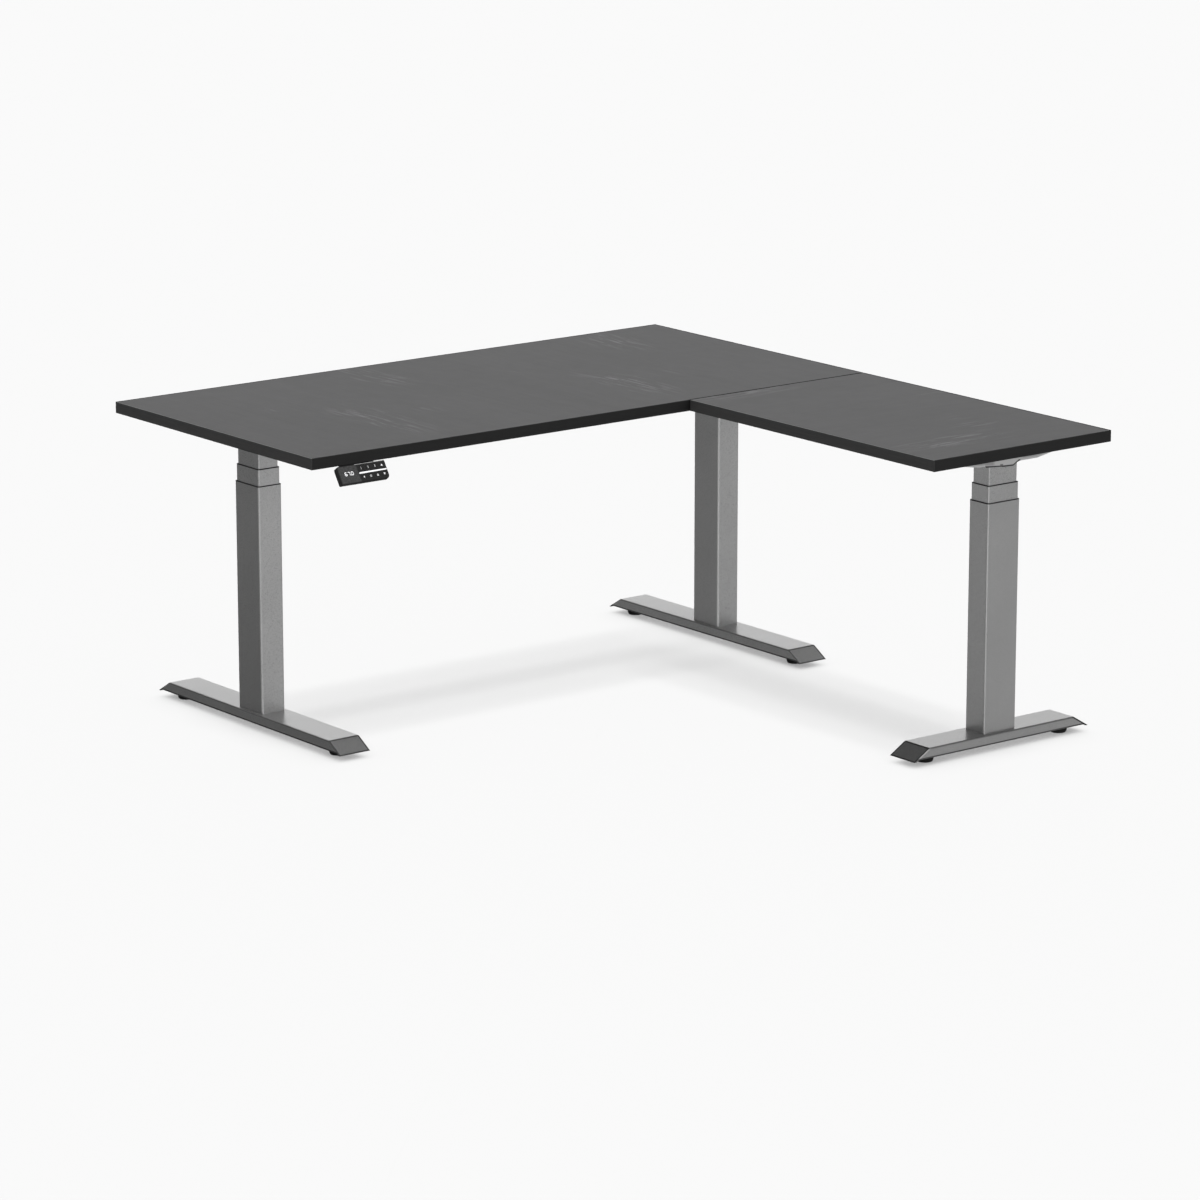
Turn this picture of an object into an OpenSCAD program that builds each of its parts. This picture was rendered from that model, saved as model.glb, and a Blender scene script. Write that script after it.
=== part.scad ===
// L-shaped height adjustable desk: two desktops at a right angle on three
// telescopic legs. Millimetres, +Z up. The origin is on the floor, at the
// middle of the rectangle that encloses the desktops. The main desktop lies
// along X at the back, the return desktop comes forward (-Y) at its right end.
// Drawn at the height given by top_h; the legs travel up and down from there.

/* [Desktops] */
// Length of the main desktop along X
main_len = 1500; // [1200:10:1800]
// Depth of the main desktop along Y
main_dep = 750; // [650:10:900]
// Length of the return desktop, forward from the main desktop
ret_len = 800; // [700:10:1000]
// Width of the return desktop along X
ret_wid = 500; // [440:10:640]
// Board thickness of both desktops
top_t = 25; // [18:1:30]
// Bevel on the arris of the boards
top_bevel = 0.8; // [0.4:0.1:1.5]
// Width of the seam between the two boards
seam = 0.4; // [0.2:0.1:1]
// Height of the desktop surface above the floor as drawn
top_h = 670; // [665:1:690]

/* [Columns] */
// Outer tube size along the foot
col_a = 90; // [84:1:100]
// Outer tube size across the foot
col_b = 60; // [54:1:70]
// How much smaller each stage is on every side
step_in = 2.5; // [2.5:0.1:3]
// Sheet thickness of the tubes
tube_w = 1.5; // [1.2:0.1:1.5]
// Corner radius of the outer tube
col_r = 5; // [4.5:0.5:6]
// Height of the outer tube's rim above the floor
rim1 = 541; // [535:1:545]
// Height of the middle tube's rim above the floor as drawn
rim2 = 578; // [574:1:582]
// Length of the middle tube with its collar
mid_len = 500; // [490:1:500]
// Length of the inner tube
inner_len = 520; // [500:1:520]
// Visible lip of the plastic guide collars
lip_h = 2; // [2:0.5:4]
// Depth of the guide collars' sleeve inside the tube
sleeve_h = 60; // [30:5:80]
// Running gap between a sleeve and the tube that slides in it
slide_gap = 0.35; // [0.3:0.01:0.4]

/* [Leg positions] */
// Leg axis to the side edge of the main desktop
leg_in = 118; // [100:1:140]
// Return leg axis to the front edge of the return desktop
ret_leg_in = 85; // [75:1:110]
// Return leg axis to the right of the return desktop's middle
ret_leg_off = -2.5; // [-10:0.5:10]

/* [Feet] */
// Length of the two long feet
foot_len = 697; // [600:1:740]
// Length of the return leg's foot
ret_foot_len = 497; // [440:1:500]
// Width of the feet
foot_w = 78; // [76:1:90]
// Top face of the feet above the floor
foot_h = 40; // [40:1:40]
// Lower edge of the feet's side walls above the floor
wall_z = 18; // [17:0.5:24]
// Lower edge of the sloping end lips above the floor
lip_z = 14.5; // [14:0.5:19]
// Horizontal run of the sloping ends
slope_run = 42.5; // [30:0.5:50]
// Sheet thickness of the feet
foot_t = 3; // [2.5:0.5:3]
// Leveller axis to the end of the foot, at the back or right end
lev_far = 50.5; // [46:0.5:70]
// Leveller axis to the end of the foot, at the front or left end
lev_near = 63.5; // [46:0.5:70]
// Diameter of the leveller pads
pad_d = 38; // [30:1:42]

/* [Top frame] */
// Width of the channels that carry the desktops
br_w = 80; // [80:1:90]
// Depth of those channels at the middle
br_h = 20; // [20:1:20]
// Half length of the channels under the main desktop
br_half = 330; // [280:5:340]
// Half length of the channel under the return desktop
ret_br_half = 205; // [180:5:210]
// Offset of the rails from the leg axes
rail_off = 75; // [70:1:80]
// Offset of the return rails from the return's middle
ret_rail_off = 50; // [46:1:54]

/* [Drive] */
// Diameter of the solid drive screw
screw_d = 14; // [12:1:14]
// Outer diameter of the hollow screw
hollow_d = 22; // [20:1:22]
// Diameter of the motor and its gearbox
motor_d = 42; // [36:1:44]

/* [Handset] */
// Width of the handset
hs_w = 126; // [110:1:140]
// Height of the handset's face along its slope
hs_h = 42; // [42:0.5:50]
// Thickness of the handset
hs_t = 9; // [8:0.5:12]
// Left edge of the handset from the left edge of the main desktop
hs_x = 55; // [40:1:90]
// Lean of the face from upright
hs_tilt = 33.3; // [25:0.1:40]
// Pitch of the keys along the face
key_pitch = 17.3; // [16:0.1:17.6]

/* [Hidden] */
$fn = 48;
e = 0.01;

tot_dep = main_dep + ret_len;
y_front = -tot_dep / 2;             // front edge of the return desktop
y_back = tot_dep / 2;               // back edge of the main desktop
y_seam = y_back - main_dep;         // front edge of the main desktop
x_l = -main_len / 2;
x_r = main_len / 2;
under = top_h - top_t;              // underside of the boards
leg_y = y_back - main_dep / 2;
ret_leg_x = x_r - ret_wid / 2 + ret_leg_off;
ret_leg_y = y_front + ret_leg_in;
// Each leg: x, y, turn that lays the foot along Y (90) or X (0)
LEG_L = [x_l + leg_in, leg_y, 90];
LEG_C = [x_r - leg_in, leg_y, 90];
LEG_R = [ret_leg_x, ret_leg_y, 0];
LEGS = [LEG_L, LEG_C, LEG_R];
mid_a = col_a - 2 * step_in;
mid_b = col_b - 2 * step_in;
inn_a = mid_a - 2 * step_in;
inn_b = mid_b - 2 * step_in;
mid_r = col_r - 1;
inn_r = mid_r - 0.5;
web_t = 3;
plate_z = foot_h + 6;               // top of the base plate in the outer tube
mid_bot = rim2 - mid_len;
inner_top = under - web_t;
inner_bot = inner_top - inner_len;
post1_z = mid_bot + 6;              // top of the middle tube's bottom plate
nut1_top = 464;
nut1_bot = 439;
nut2_top = 401.5;
nut2_bot = 377;
motor_bot = 490;
dark = [0.17, 0.17, 0.18];
steel = [0.55, 0.55, 0.56];
zinc = [0.72, 0.73, 0.74];
rail_z = under - br_h;
rail_w = 40;
rail_h = 20;
cb_x0 = -130;
cb_x1 = 130;
cb_y0 = leg_y + rail_off + rail_w / 2 + 60;
cb_y1 = cb_y0 + 92;
cb_z0 = under - 38;

// ---------- helpers ----------
module rr(a, b, r) {
    square([a - 2 * r, b], center = true);
    square([a, b - 2 * r], center = true);
    for (i = [-1, 1], j = [-1, 1]) translate([i * (a / 2 - r), j * (b / 2 - r)]) circle(r);
}
module prism(a, b, r, z0, z1) { translate([0, 0, z0]) linear_extrude(z1 - z0) rr(a, b, r); }
module box(x0, x1, y0, y1, z0, z1) { translate([x0, y0, z0]) cube([x1 - x0, y1 - y0, z1 - z0]); }
function oct(x0, x1, y0, y1, c) = [[x0 + c, y0], [x1 - c, y0], [x1, y0 + c], [x1, y1 - c],
                                   [x1 - c, y1], [x0 + c, y1], [x0, y1 - c], [x0, y0 + c]];
// box with every edge bevelled by c
module bevel_box(x0, x1, y0, y1, z0, z1, c) {
    intersection() {
        translate([0, 0, z0]) linear_extrude(z1 - z0) polygon(oct(x0, x1, y0, y1, c));
        translate([0, y1, 0]) rotate([90, 0, 0]) linear_extrude(y1 - y0) polygon(oct(x0, x1, z0, z1, c));
        translate([x0, 0, 0]) rotate([90, 0, 90]) linear_extrude(x1 - x0) polygon(oct(y0, y1, z0, z1, c));
    }
}
// puts a child drawn about the leg axis, with the foot along X, at a leg
module at(leg) { translate([leg[0], leg[1], 0]) rotate([0, 0, leg[2]]) children(); }
module bolt(r, len, hr, hh) { cylinder(r = r, h = len); translate([0, 0, -hh]) cylinder(r = hr, h = hh, $fn = 6); }

// ---------- feet ----------
function slope_in(t) = [-t * (foot_h - lip_z), -t * slope_run] / norm([slope_run, foot_h - lip_z]);
module side_profile(half, z0, off) {
    // outline of the foot seen from the side, moved inwards by off
    k = slope_run / (foot_h - lip_z);
    d = off * norm([slope_run, foot_h - lip_z]) / (foot_h - lip_z);
    u1 = half - slope_run;
    zt = foot_h - off;
    polygon([[-(u1 + k * (foot_h - z0) - d), z0], [u1 + k * (foot_h - z0) - d, z0],
             [u1 + k * (foot_h - zt) - d, zt], [-(u1 + k * (foot_h - zt) - d), zt]]);
}
module along_x(len) { rotate([90, 0, 90]) linear_extrude(len, center = true) children(); }
module across_y(w) { rotate([90, 0, 0]) linear_extrude(w, center = true) children(); }
module foot_edges() {
    // cross-section with rounded upper edges
    difference() {
        translate([0, foot_h / 2]) rr(foot_w, foot_h, 2.5);
        translate([-foot_w, -1]) square([2 * foot_w, 6]);
    }
}
// place of a leveller along a foot; s is 1 at the back or right end, -1 at the other
function lev_u(len, s) = s * (len / 2 - (s > 0 ? lev_far : lev_near));
module foot(len) {
    half = len / 2;
    difference() {
        union() {
            intersection() {
                union() {
                    difference() {
                        across_y(foot_w) side_profile(half, wall_z, 0);
                        across_y(foot_w - 2 * foot_t) side_profile(half, wall_z - 1, foot_t);
                    }
                    // sloping end plates, which reach below the side walls
                    difference() {
                        across_y(foot_w) side_profile(half, lip_z, 0);
                        across_y(foot_w + 2) side_profile(half, lip_z - 1, foot_t);
                    }
                }
                along_x(len + 2) foot_edges();
            }
            // welded threaded bosses for the levellers
            for (s = [-1, 1]) translate([lev_u(len, s), 0, 19]) cylinder(r = 9, h = foot_h - foot_t - 19 + e);
        }
        for (s = [-1, 1]) translate([lev_u(len, s), 0, 18]) cylinder(r = 4.08, h = foot_h - foot_t - 18);
        for (i = [-1, 1], j = [-1, 1]) translate([i * 30, j * 15, foot_h - foot_t - 1]) cylinder(r = 3.2, h = foot_t + 2);
    }
}
module left_foot() { color(steel) at(LEG_L) foot(foot_len); }
module corner_foot() { color(steel) at(LEG_C) foot(foot_len); }
module return_foot() { color(steel) at(LEG_R) foot(ret_foot_len); }

// ---------- column tubes ----------
module outer_tube() {
    difference() {
        prism(col_a, col_b, col_r, foot_h, rim1 - lip_h);
        prism(col_a - 2 * tube_w, col_b - 2 * tube_w, col_r - tube_w, plate_z, rim1);
        for (i = [-1, 1], j = [-1, 1]) translate([i * 30, j * 15, foot_h - 1]) cylinder(r = 3.1, h = 8);
    }
}
module left_outer_tube() { color(steel) at(LEG_L) outer_tube(); }
module corner_outer_tube() { color(steel) at(LEG_C) outer_tube(); }
module return_outer_tube() { color(steel) at(LEG_R) outer_tube(); }

// guide collar: a lip on the tube's rim with a bevelled top, and a sleeve inside
module collar(a, b, r, z, ia, ib, ir) {
    c = 1.2;
    difference() {
        union() {
            intersection() {
                prism(a, b, r, z - lip_h, z);
                across_y(b + 2) polygon([[-a / 2, z - lip_h], [a / 2, z - lip_h], [a / 2, z - c], [a / 2 - c, z], [-a / 2 + c, z], [-a / 2, z - c]]);
                along_x(a + 2) polygon([[-b / 2, z - lip_h], [b / 2, z - lip_h], [b / 2, z - c], [b / 2 - c, z], [-b / 2 + c, z], [-b / 2, z - c]]);
            }
            prism(a - 2 * tube_w, b - 2 * tube_w, r, z - sleeve_h, z - lip_h + e);
        }
        prism(ia + 2 * slide_gap, ib + 2 * slide_gap, ir + slide_gap, z - sleeve_h - 1, z + 1);
    }
}
module outer_collars() { color(dark) for (l = LEGS) at(l) collar(col_a, col_b, col_r, rim1, mid_a, mid_b, mid_r); }

module middle_tube() {
    difference() {
        prism(mid_a, mid_b, mid_r, mid_bot, rim2 - lip_h);
        prism(mid_a - 2 * tube_w, mid_b - 2 * tube_w, mid_r - tube_w, mid_bot - 1, rim2);
    }
}
module left_middle_tube() { color(steel) at(LEG_L) middle_tube(); }
module corner_middle_tube() { color(steel) at(LEG_C) middle_tube(); }
module return_middle_tube() { color(steel) at(LEG_R) middle_tube(); }
module middle_collar() { collar(mid_a, mid_b, mid_r, rim2, inn_a, inn_b, inn_r); }
module left_middle_collar() { color(dark) at(LEG_L) middle_collar(); }
module corner_middle_collar() { color(dark) at(LEG_C) middle_collar(); }
module return_middle_collar() { color(dark) at(LEG_R) middle_collar(); }

// the inner tube, closed at the top by a welded plate with four threaded holes
module inner_tube() {
    difference() {
        prism(inn_a, inn_b, inn_r, inner_bot, inner_top);
        prism(inn_a - 2 * tube_w, inn_b - 2 * tube_w, inn_r - tube_w, inner_bot - 1, inner_top - 4);
        for (i = [-1, 1], j = [-1, 1]) translate([i * 30, j * 15, inner_top - 5]) cylinder(r = 3.1, h = 6);
    }
}
module left_inner_tube() { color(steel) at(LEG_L) inner_tube(); }
module corner_inner_tube() { color(steel) at(LEG_C) inner_tube(); }
module return_inner_tube() { color(steel) at(LEG_R) inner_tube(); }

// ---------- drive inside the columns ----------
// post that stands in the outer tube and carries the lower nut
module base_post() {
    difference() {
        union() {
            prism(80, 50, 3, plate_z, plate_z + 4);
            translate([0, 0, plate_z]) cylinder(r = 14, h = nut2_top - plate_z);
        }
        translate([0, 0, plate_z + 4]) cylinder(r = 12, h = nut2_bot - plate_z - 4);
        translate([0, 0, nut2_bot - e]) cylinder(r = hollow_d / 2 + 0.05, h = nut2_top - nut2_bot + 1);
        // clears the four foot bolts
        for (i = [-1, 1], j = [-1, 1]) translate([i * 30, j * 15, plate_z - 1]) cylinder(r = 4, h = 6);
    }
}
module base_nut_posts() { color(zinc) for (l = LEGS) at(l) base_post(); }
// post that stands in the middle tube: carries the upper nut and hangs the hollow screw
module middle_post() {
    difference() {
        union() {
            prism(mid_a - 2 * tube_w, mid_b - 2 * tube_w, mid_r - tube_w, mid_bot, post1_z);
            translate([0, 0, mid_bot]) cylinder(r = 17, h = nut1_top - mid_bot);
        }
        translate([0, 0, mid_bot - 1]) cylinder(r = 15, h = nut1_bot - mid_bot + 1);
        translate([0, 0, nut1_bot - e]) cylinder(r = screw_d / 2 + 0.05, h = nut1_top - nut1_bot + 1);
    }
}
module left_middle_nut_post() { color(zinc) at(LEG_L) middle_post(); }
module corner_middle_nut_post() { color(zinc) at(LEG_C) middle_post(); }
module return_middle_nut_post() { color(zinc) at(LEG_R) middle_post(); }
// hollow screw: journal head at the top, key that runs in the drive screw's groove
module hollow_screw() {
    z0 = 74;
    z1 = nut1_bot - 0.3;
    union() {
        difference() {
            union() {
                translate([0, 0, z0]) cylinder(r = hollow_d / 2, h = z1 - z0);
                translate([0, 0, z1 - 14]) cylinder(r = 14.95, h = 14);
            }
            translate([0, 0, z0 - 1]) cylinder(r = screw_d / 2 + 0.5, h = z1 - z0 + 2);
        }
        translate([5.7, -1.2, z1 - 14]) cube([3, 2.4, 14]);
    }
}
module left_hollow_screw() { color(zinc) at(LEG_L) hollow_screw(); }
module corner_hollow_screw() { color(zinc) at(LEG_C) hollow_screw(); }
module return_hollow_screw() { color(zinc) at(LEG_R) hollow_screw(); }
// solid drive screw: plain journal in the gearbox, keyway down the thread
module drive_screw() {
    difference() {
        translate([0, 0, 110]) cylinder(r = screw_d / 2, h = motor_bot + 11.5 - 110);
        translate([5.3, -1.5, 109]) cube([3, 3, motor_bot - 6 - 109]);
    }
}
module left_drive_screw() { color(zinc) at(LEG_L) drive_screw(); }
module corner_drive_screw() { color(zinc) at(LEG_C) drive_screw(); }
module return_drive_screw() { color(zinc) at(LEG_R) drive_screw(); }
// motor and gearbox in line with the screw, hung from the inner tube's top plate
module gear_motor() {
    difference() {
        union() {
            translate([0, 0, motor_bot]) cylinder(r = motor_d / 2, h = 54);
            translate([0, 0, motor_bot + 54]) cylinder(r = motor_d / 2 - 2, h = inner_top - 8 - motor_bot - 54);
            prism(inn_a - 2 * tube_w - 1, inn_b - 2 * tube_w - 1, inn_r - tube_w, inner_top - 8, inner_top - 4);
        }
        translate([0, 0, motor_bot - 1]) cylinder(r = screw_d / 2 + 0.05, h = 13);
        for (i = [-1, 1], j = [-1, 1]) translate([i * 30, j * 15, inner_top - 9]) cylinder(r = 3.5, h = 6);
    }
}
module left_gear_motor() { color(dark) at(LEG_L) gear_motor(); }
module corner_gear_motor() { color(dark) at(LEG_C) gear_motor(); }
module return_gear_motor() { color(dark) at(LEG_R) gear_motor(); }

// ---------- channels and rails under the desktops ----------
function screw_us(half) = [-(half - 22), -half * 0.5, half * 0.5, half - 22];
module bracket(half) {
    hub = 8.6;
    tip = 7;
    difference() {
        across_y(br_w) polygon([[-half, under], [half, under], [half, under - tip], [158, under - tip], [82, under - br_h],
            [32, under - br_h], [25, under - br_h - 2.4], [14, under - br_h - hub], [-14, under - br_h - 7.4], [-22, under - br_h - 5.8],
            [-62, under - br_h - 2.9], [-67, under - br_h], [-82, under - br_h], [-158, under - tip], [-half, under - tip]]);
        across_y(br_w - 2 * web_t) translate([-half - 1, under - 60]) square([2 * half + 2, 60 - web_t]);
        // countersunk holes over the column
        for (i = [-1, 1], j = [-1, 1]) translate([i * 30, j * 15, under - web_t]) {
            translate([0, 0, -1]) cylinder(r = 3.1, h = 2);
            cylinder(r1 = 3.1, r2 = 6.1, h = web_t);
        }
        for (u = screw_us(half)) translate([u, 0, under - web_t - 1]) cylinder(r = 2.75, h = web_t + 2);
    }
}
// holes for the rails' bolts, in one side wall of a channel
module rail_bolt_holes(off, side) {
    for (i = [-1, 1], j = [-1, 1]) translate([i * off + j * 26, side * (br_w / 2 + 1), rail_z + 10])
        rotate([side * 90, 0, 0]) cylinder(r = 3.1, h = web_t + 2);
}
module left_top_bracket() { color(steel) at(LEG_L) difference() { bracket(br_half); rail_bolt_holes(rail_off, -1); } }
module corner_top_bracket() { color(steel) at(LEG_C) difference() { bracket(br_half); rail_bolt_holes(rail_off, 1); } }
module return_top_bracket() { color(steel) at(LEG_R) difference() { bracket(ret_br_half); rail_bolt_holes(ret_rail_off, 1); } }

// hollow rail along X from 0 to len, with a wide bolted plate at each end
module rail(len, screws) {
    difference() {
        union() {
            box(0, len, -rail_w / 2, rail_w / 2, rail_z, rail_z + rail_h);
            for (x = [0, len - 3]) box(x, x + 3, -32, 32, rail_z + 0.5, rail_z + rail_h - 0.5);
        }
        box(3, len - 3, -rail_w / 2 + 2, rail_w / 2 - 2, rail_z + 2, rail_z + rail_h - 2);
        for (x = [-1, len - 4], j = [-26, 26]) translate([x, j, rail_z + 10]) rotate([0, 90, 0]) cylinder(r = 3.1, h = 5);
        for (x = [-1, len - 4]) translate([x, 0, rail_z + 10]) rotate([0, 90, 0]) cylinder(r = 5, h = 5);
        for (x = screws) translate([x, 0, 0]) {
            translate([0, 0, rail_z - 1]) cylinder(r = 5.5, h = 4);
            translate([0, 0, rail_z + rail_h - 3]) cylinder(r = 2.75, h = 4);
        }
    }
}
main_rail_len = (LEG_C[0] - LEG_L[0]) - br_w;
main_rail_x = LEG_L[0] + br_w / 2;
ret_rail_y0 = LEG_R[1] + br_w / 2;
ret_rail_len = (leg_y - rail_off - rail_w / 2) - ret_rail_y0;
MAIN_SCREWS = [main_rail_len * 0.3, main_rail_len * 0.7];
RET_SCREWS = [ret_rail_len * 0.3, y_seam - 40 - ret_rail_y0];
ret_rail_main = y_seam + 40 - ret_rail_y0;   // where the return rails hold the main board
module main_rail_rear() { color(steel) translate([main_rail_x, leg_y + rail_off, 0]) rail(main_rail_len, MAIN_SCREWS); }
module main_rail_front() {
    color(steel) difference() {
        translate([main_rail_x, leg_y - rail_off, 0]) rail(main_rail_len, MAIN_SCREWS);
        // tapped holes for the return rails
        for (i = [-1, 1], j = [-26, 26]) translate([ret_leg_x + i * ret_rail_off + j, leg_y - rail_off - rail_w / 2 - 1, rail_z + 10])
            rotate([-90, 0, 0]) cylinder(r = 3.1, h = 4);
    }
}
module ret_rail(s) { translate([ret_leg_x + s * ret_rail_off, ret_rail_y0, 0]) rotate([0, 0, 90]) rail(ret_rail_len, concat(RET_SCREWS, [ret_rail_main])); }
module return_rail_inner() { color(steel) ret_rail(-1); }
module return_rail_outer() { color(steel) ret_rail(1); }

// ---------- desktops ----------
// places of every wood screw that holds a board, as [x, y, seat height]
function turn(leg, u) = leg[2] == 90 ? [leg[0], leg[1] + u, under - web_t] : [leg[0] + u, leg[1], under - web_t];
SCREWS_MAIN = concat([for (l = [LEG_L, LEG_C], u = screw_us(br_half)) turn(l, u)],
                     [for (s = [-1, 1], x = MAIN_SCREWS) [main_rail_x + x, leg_y + s * rail_off, under - 2]],
                     [for (s = [-1, 1]) [ret_leg_x + s * ret_rail_off, ret_rail_y0 + ret_rail_main, under - 2]],
                     [for (s = [-1, 1]) [x_l + hs_x + hs_w / 2 + s * 32, y_seam + 30, under - 4]],
                     [for (x = [cb_x0 - 7, cb_x1 + 7]) [x, (cb_y0 + cb_y1) / 2, under - 3]]);
SCREWS_RET = concat([for (u = screw_us(ret_br_half)) turn(LEG_R, u)],
                    [for (s = [-1, 1], y = RET_SCREWS) [ret_leg_x + s * ret_rail_off, ret_rail_y0 + y, under - 2]]);
module pilots(list) { for (p = list) translate([p[0], p[1], under - 1]) cylinder(r = 2.35, h = 14); }
module main_desktop() {
    color([0.36, 0.36, 0.37]) difference() {
        bevel_box(x_l, x_r, y_seam, y_back, under, top_h, top_bevel);
        pilots(SCREWS_MAIN);
    }
}
module return_desktop() {
    color([0.36, 0.36, 0.37]) difference() {
        bevel_box(x_r - ret_wid, x_r, y_front, y_seam - seam, under, top_h, top_bevel);
        pilots(SCREWS_RET);
    }
}

// ---------- fasteners ----------
// hex bolts from below through the feet into the base plates
module foot_bolts() {
    color(zinc) for (l = LEGS) at(l) for (i = [-1, 1], j = [-1, 1])
        translate([i * 30, j * 15, foot_h - foot_t]) bolt(3, foot_t + 8, 5.5, 4);
}
// countersunk bolts over the columns, and hex bolts at the ends of the rails
module frame_bolts() {
    color(zinc) {
        for (l = LEGS) at(l) for (i = [-1, 1], j = [-1, 1]) translate([i * 30, j * 15, 0]) {
            translate([0, 0, under - web_t]) cylinder(r1 = 3, r2 = 6, h = web_t);
            translate([0, 0, inner_top - 8]) cylinder(r = 3, h = 8 + e);
        }
        for (s = [-1, 1], j = [-26, 26]) {
            translate([main_rail_x + 3, leg_y + s * rail_off + j, rail_z + 10]) rotate([0, -90, 0]) bolt(3, 6, 5, 4);
            translate([main_rail_x + main_rail_len - 3, leg_y + s * rail_off + j, rail_z + 10]) rotate([0, 90, 0]) bolt(3, 6, 5, 4);
            translate([ret_leg_x + s * ret_rail_off + j, ret_rail_y0 + 3, rail_z + 10]) rotate([90, 0, 0]) bolt(3, 6, 5, 4);
            translate([ret_leg_x + s * ret_rail_off + j, ret_rail_y0 + ret_rail_len - 3, rail_z + 10]) rotate([-90, 0, 0]) bolt(3, 5, 5, 4);
        }
    }
}
// wood screws into the boards
module desktop_screws() {
    color(zinc) for (p = concat(SCREWS_MAIN, SCREWS_RET)) translate(p) {
        translate([0, 0, -2.6]) cylinder(r = 4.6, h = 2.6);
        cylinder(r = 2.25, h = under + 12 - p[2]);
    }
}

// ---------- control box ----------
// sockets on the front wall: [x, width, height]
SOCKETS = [[-100, 27, 19.5], [-44, 15, 12], [-14, 15, 12], [16, 15, 12], [60, 12, 9]];
sock_z = under - 19;
sock_d = 14;
module control_box_case() {
    color(dark) difference() {
        union() {
            difference() {
                bevel_box(cb_x0, cb_x1, cb_y0, cb_y1, cb_z0 + 2, under, 1.5);
                box(cb_x0 + 2.5, cb_x1 - 2.5, cb_y0 + 2.5, cb_y1 - 2.5, cb_z0, under - 2.5);
            }
            for (s = SOCKETS) box(s[0] - s[1] / 2 - 1.6, s[0] + s[1] / 2 + 1.6, cb_y0 + 1.5, cb_y0 + sock_d + 1.6, sock_z - s[2] / 2 - 1.6, sock_z + s[2] / 2 + 1.6);
            // screw ears
            for (x = [cb_x0 - 14, cb_x1 - 1]) box(x, x + 15, cb_y0 + 30, cb_y1 - 30, under - 3, under);
        }
        for (s = SOCKETS) box(s[0] - s[1] / 2, s[0] + s[1] / 2, cb_y0 - 1, cb_y0 + sock_d, sock_z - s[2] / 2, sock_z + s[2] / 2);
        for (x = [cb_x0 - 7, cb_x1 + 7]) translate([x, (cb_y0 + cb_y1) / 2, under - 4]) cylinder(r = 2.5, h = 5);
    }
}
module control_box_lid() {
    color(dark) difference() {
        bevel_box(cb_x0, cb_x1, cb_y0, cb_y1, cb_z0, cb_z0 + 2, 0.5);
        // cooling slots
        for (i = [-6:6]) box(i * 9 - 2, i * 9 + 2, cb_y0 + 50, cb_y1 - 14, cb_z0 - 1, cb_z0 + 3);
    }
}
module control_board() {
    color([0.1, 0.35, 0.2]) {
        box(cb_x0 + 6, cb_x1 - 6, cb_y0 + 20, cb_y1 - 6, cb_z0 + 8, cb_z0 + 9.6);
        // transformer, capacitors and the motor drivers' heat sink
        box(70, 110, cb_y0 + 30, cb_y0 + 62, cb_z0 + 9.6, cb_z0 + 32);
        box(-110, -40, cb_y0 + 58, cb_y0 + 66, cb_z0 + 9.6, cb_z0 + 28);
        for (x = [-10, 12, 34]) translate([x, cb_y0 + 52, cb_z0 + 9.6]) cylinder(r = 8, h = 20);
    }
}

// ---------- handset ----------
// local frame: u to the right along the face, v up the slope from its top
// edge (so the face lies at v < 0), w out of the face, towards the user
hs_c = cos(hs_tilt);
hs_s = sin(hs_tilt);
module hs_frame() { translate([x_l + hs_x, y_seam - 1, under - 1]) rotate([90 - hs_tilt, 0, 0]) children(); }
function arc(cx, cy, r, a0, a1, n) = [for (i = [0:n]) [cx + r * cos(a0 + (a1 - a0) * i / n), cy + r * sin(a0 + (a1 - a0) * i / n)]];
// face outline: wide radii at the upper left and lower right, tight ones elsewhere
module leaf(o) {
    w = hs_w; h = hs_h; r1 = 11.4 - o; r2 = 10 - o; r0 = max(2.5 - o, 0.6);
    difference() {
        translate([o, -h + o]) square([w - 2 * o, h - 2 * o]);
        translate([o, -o - r1]) corner_cut(r1, 0);
        translate([w - o - r0, -o - r0]) corner_cut(r0, 1);
        translate([w - o - r2, -h + o]) corner_cut(r2, 2);
        translate([o, -h + o]) corner_cut(r0, 3);
    }
}
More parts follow.
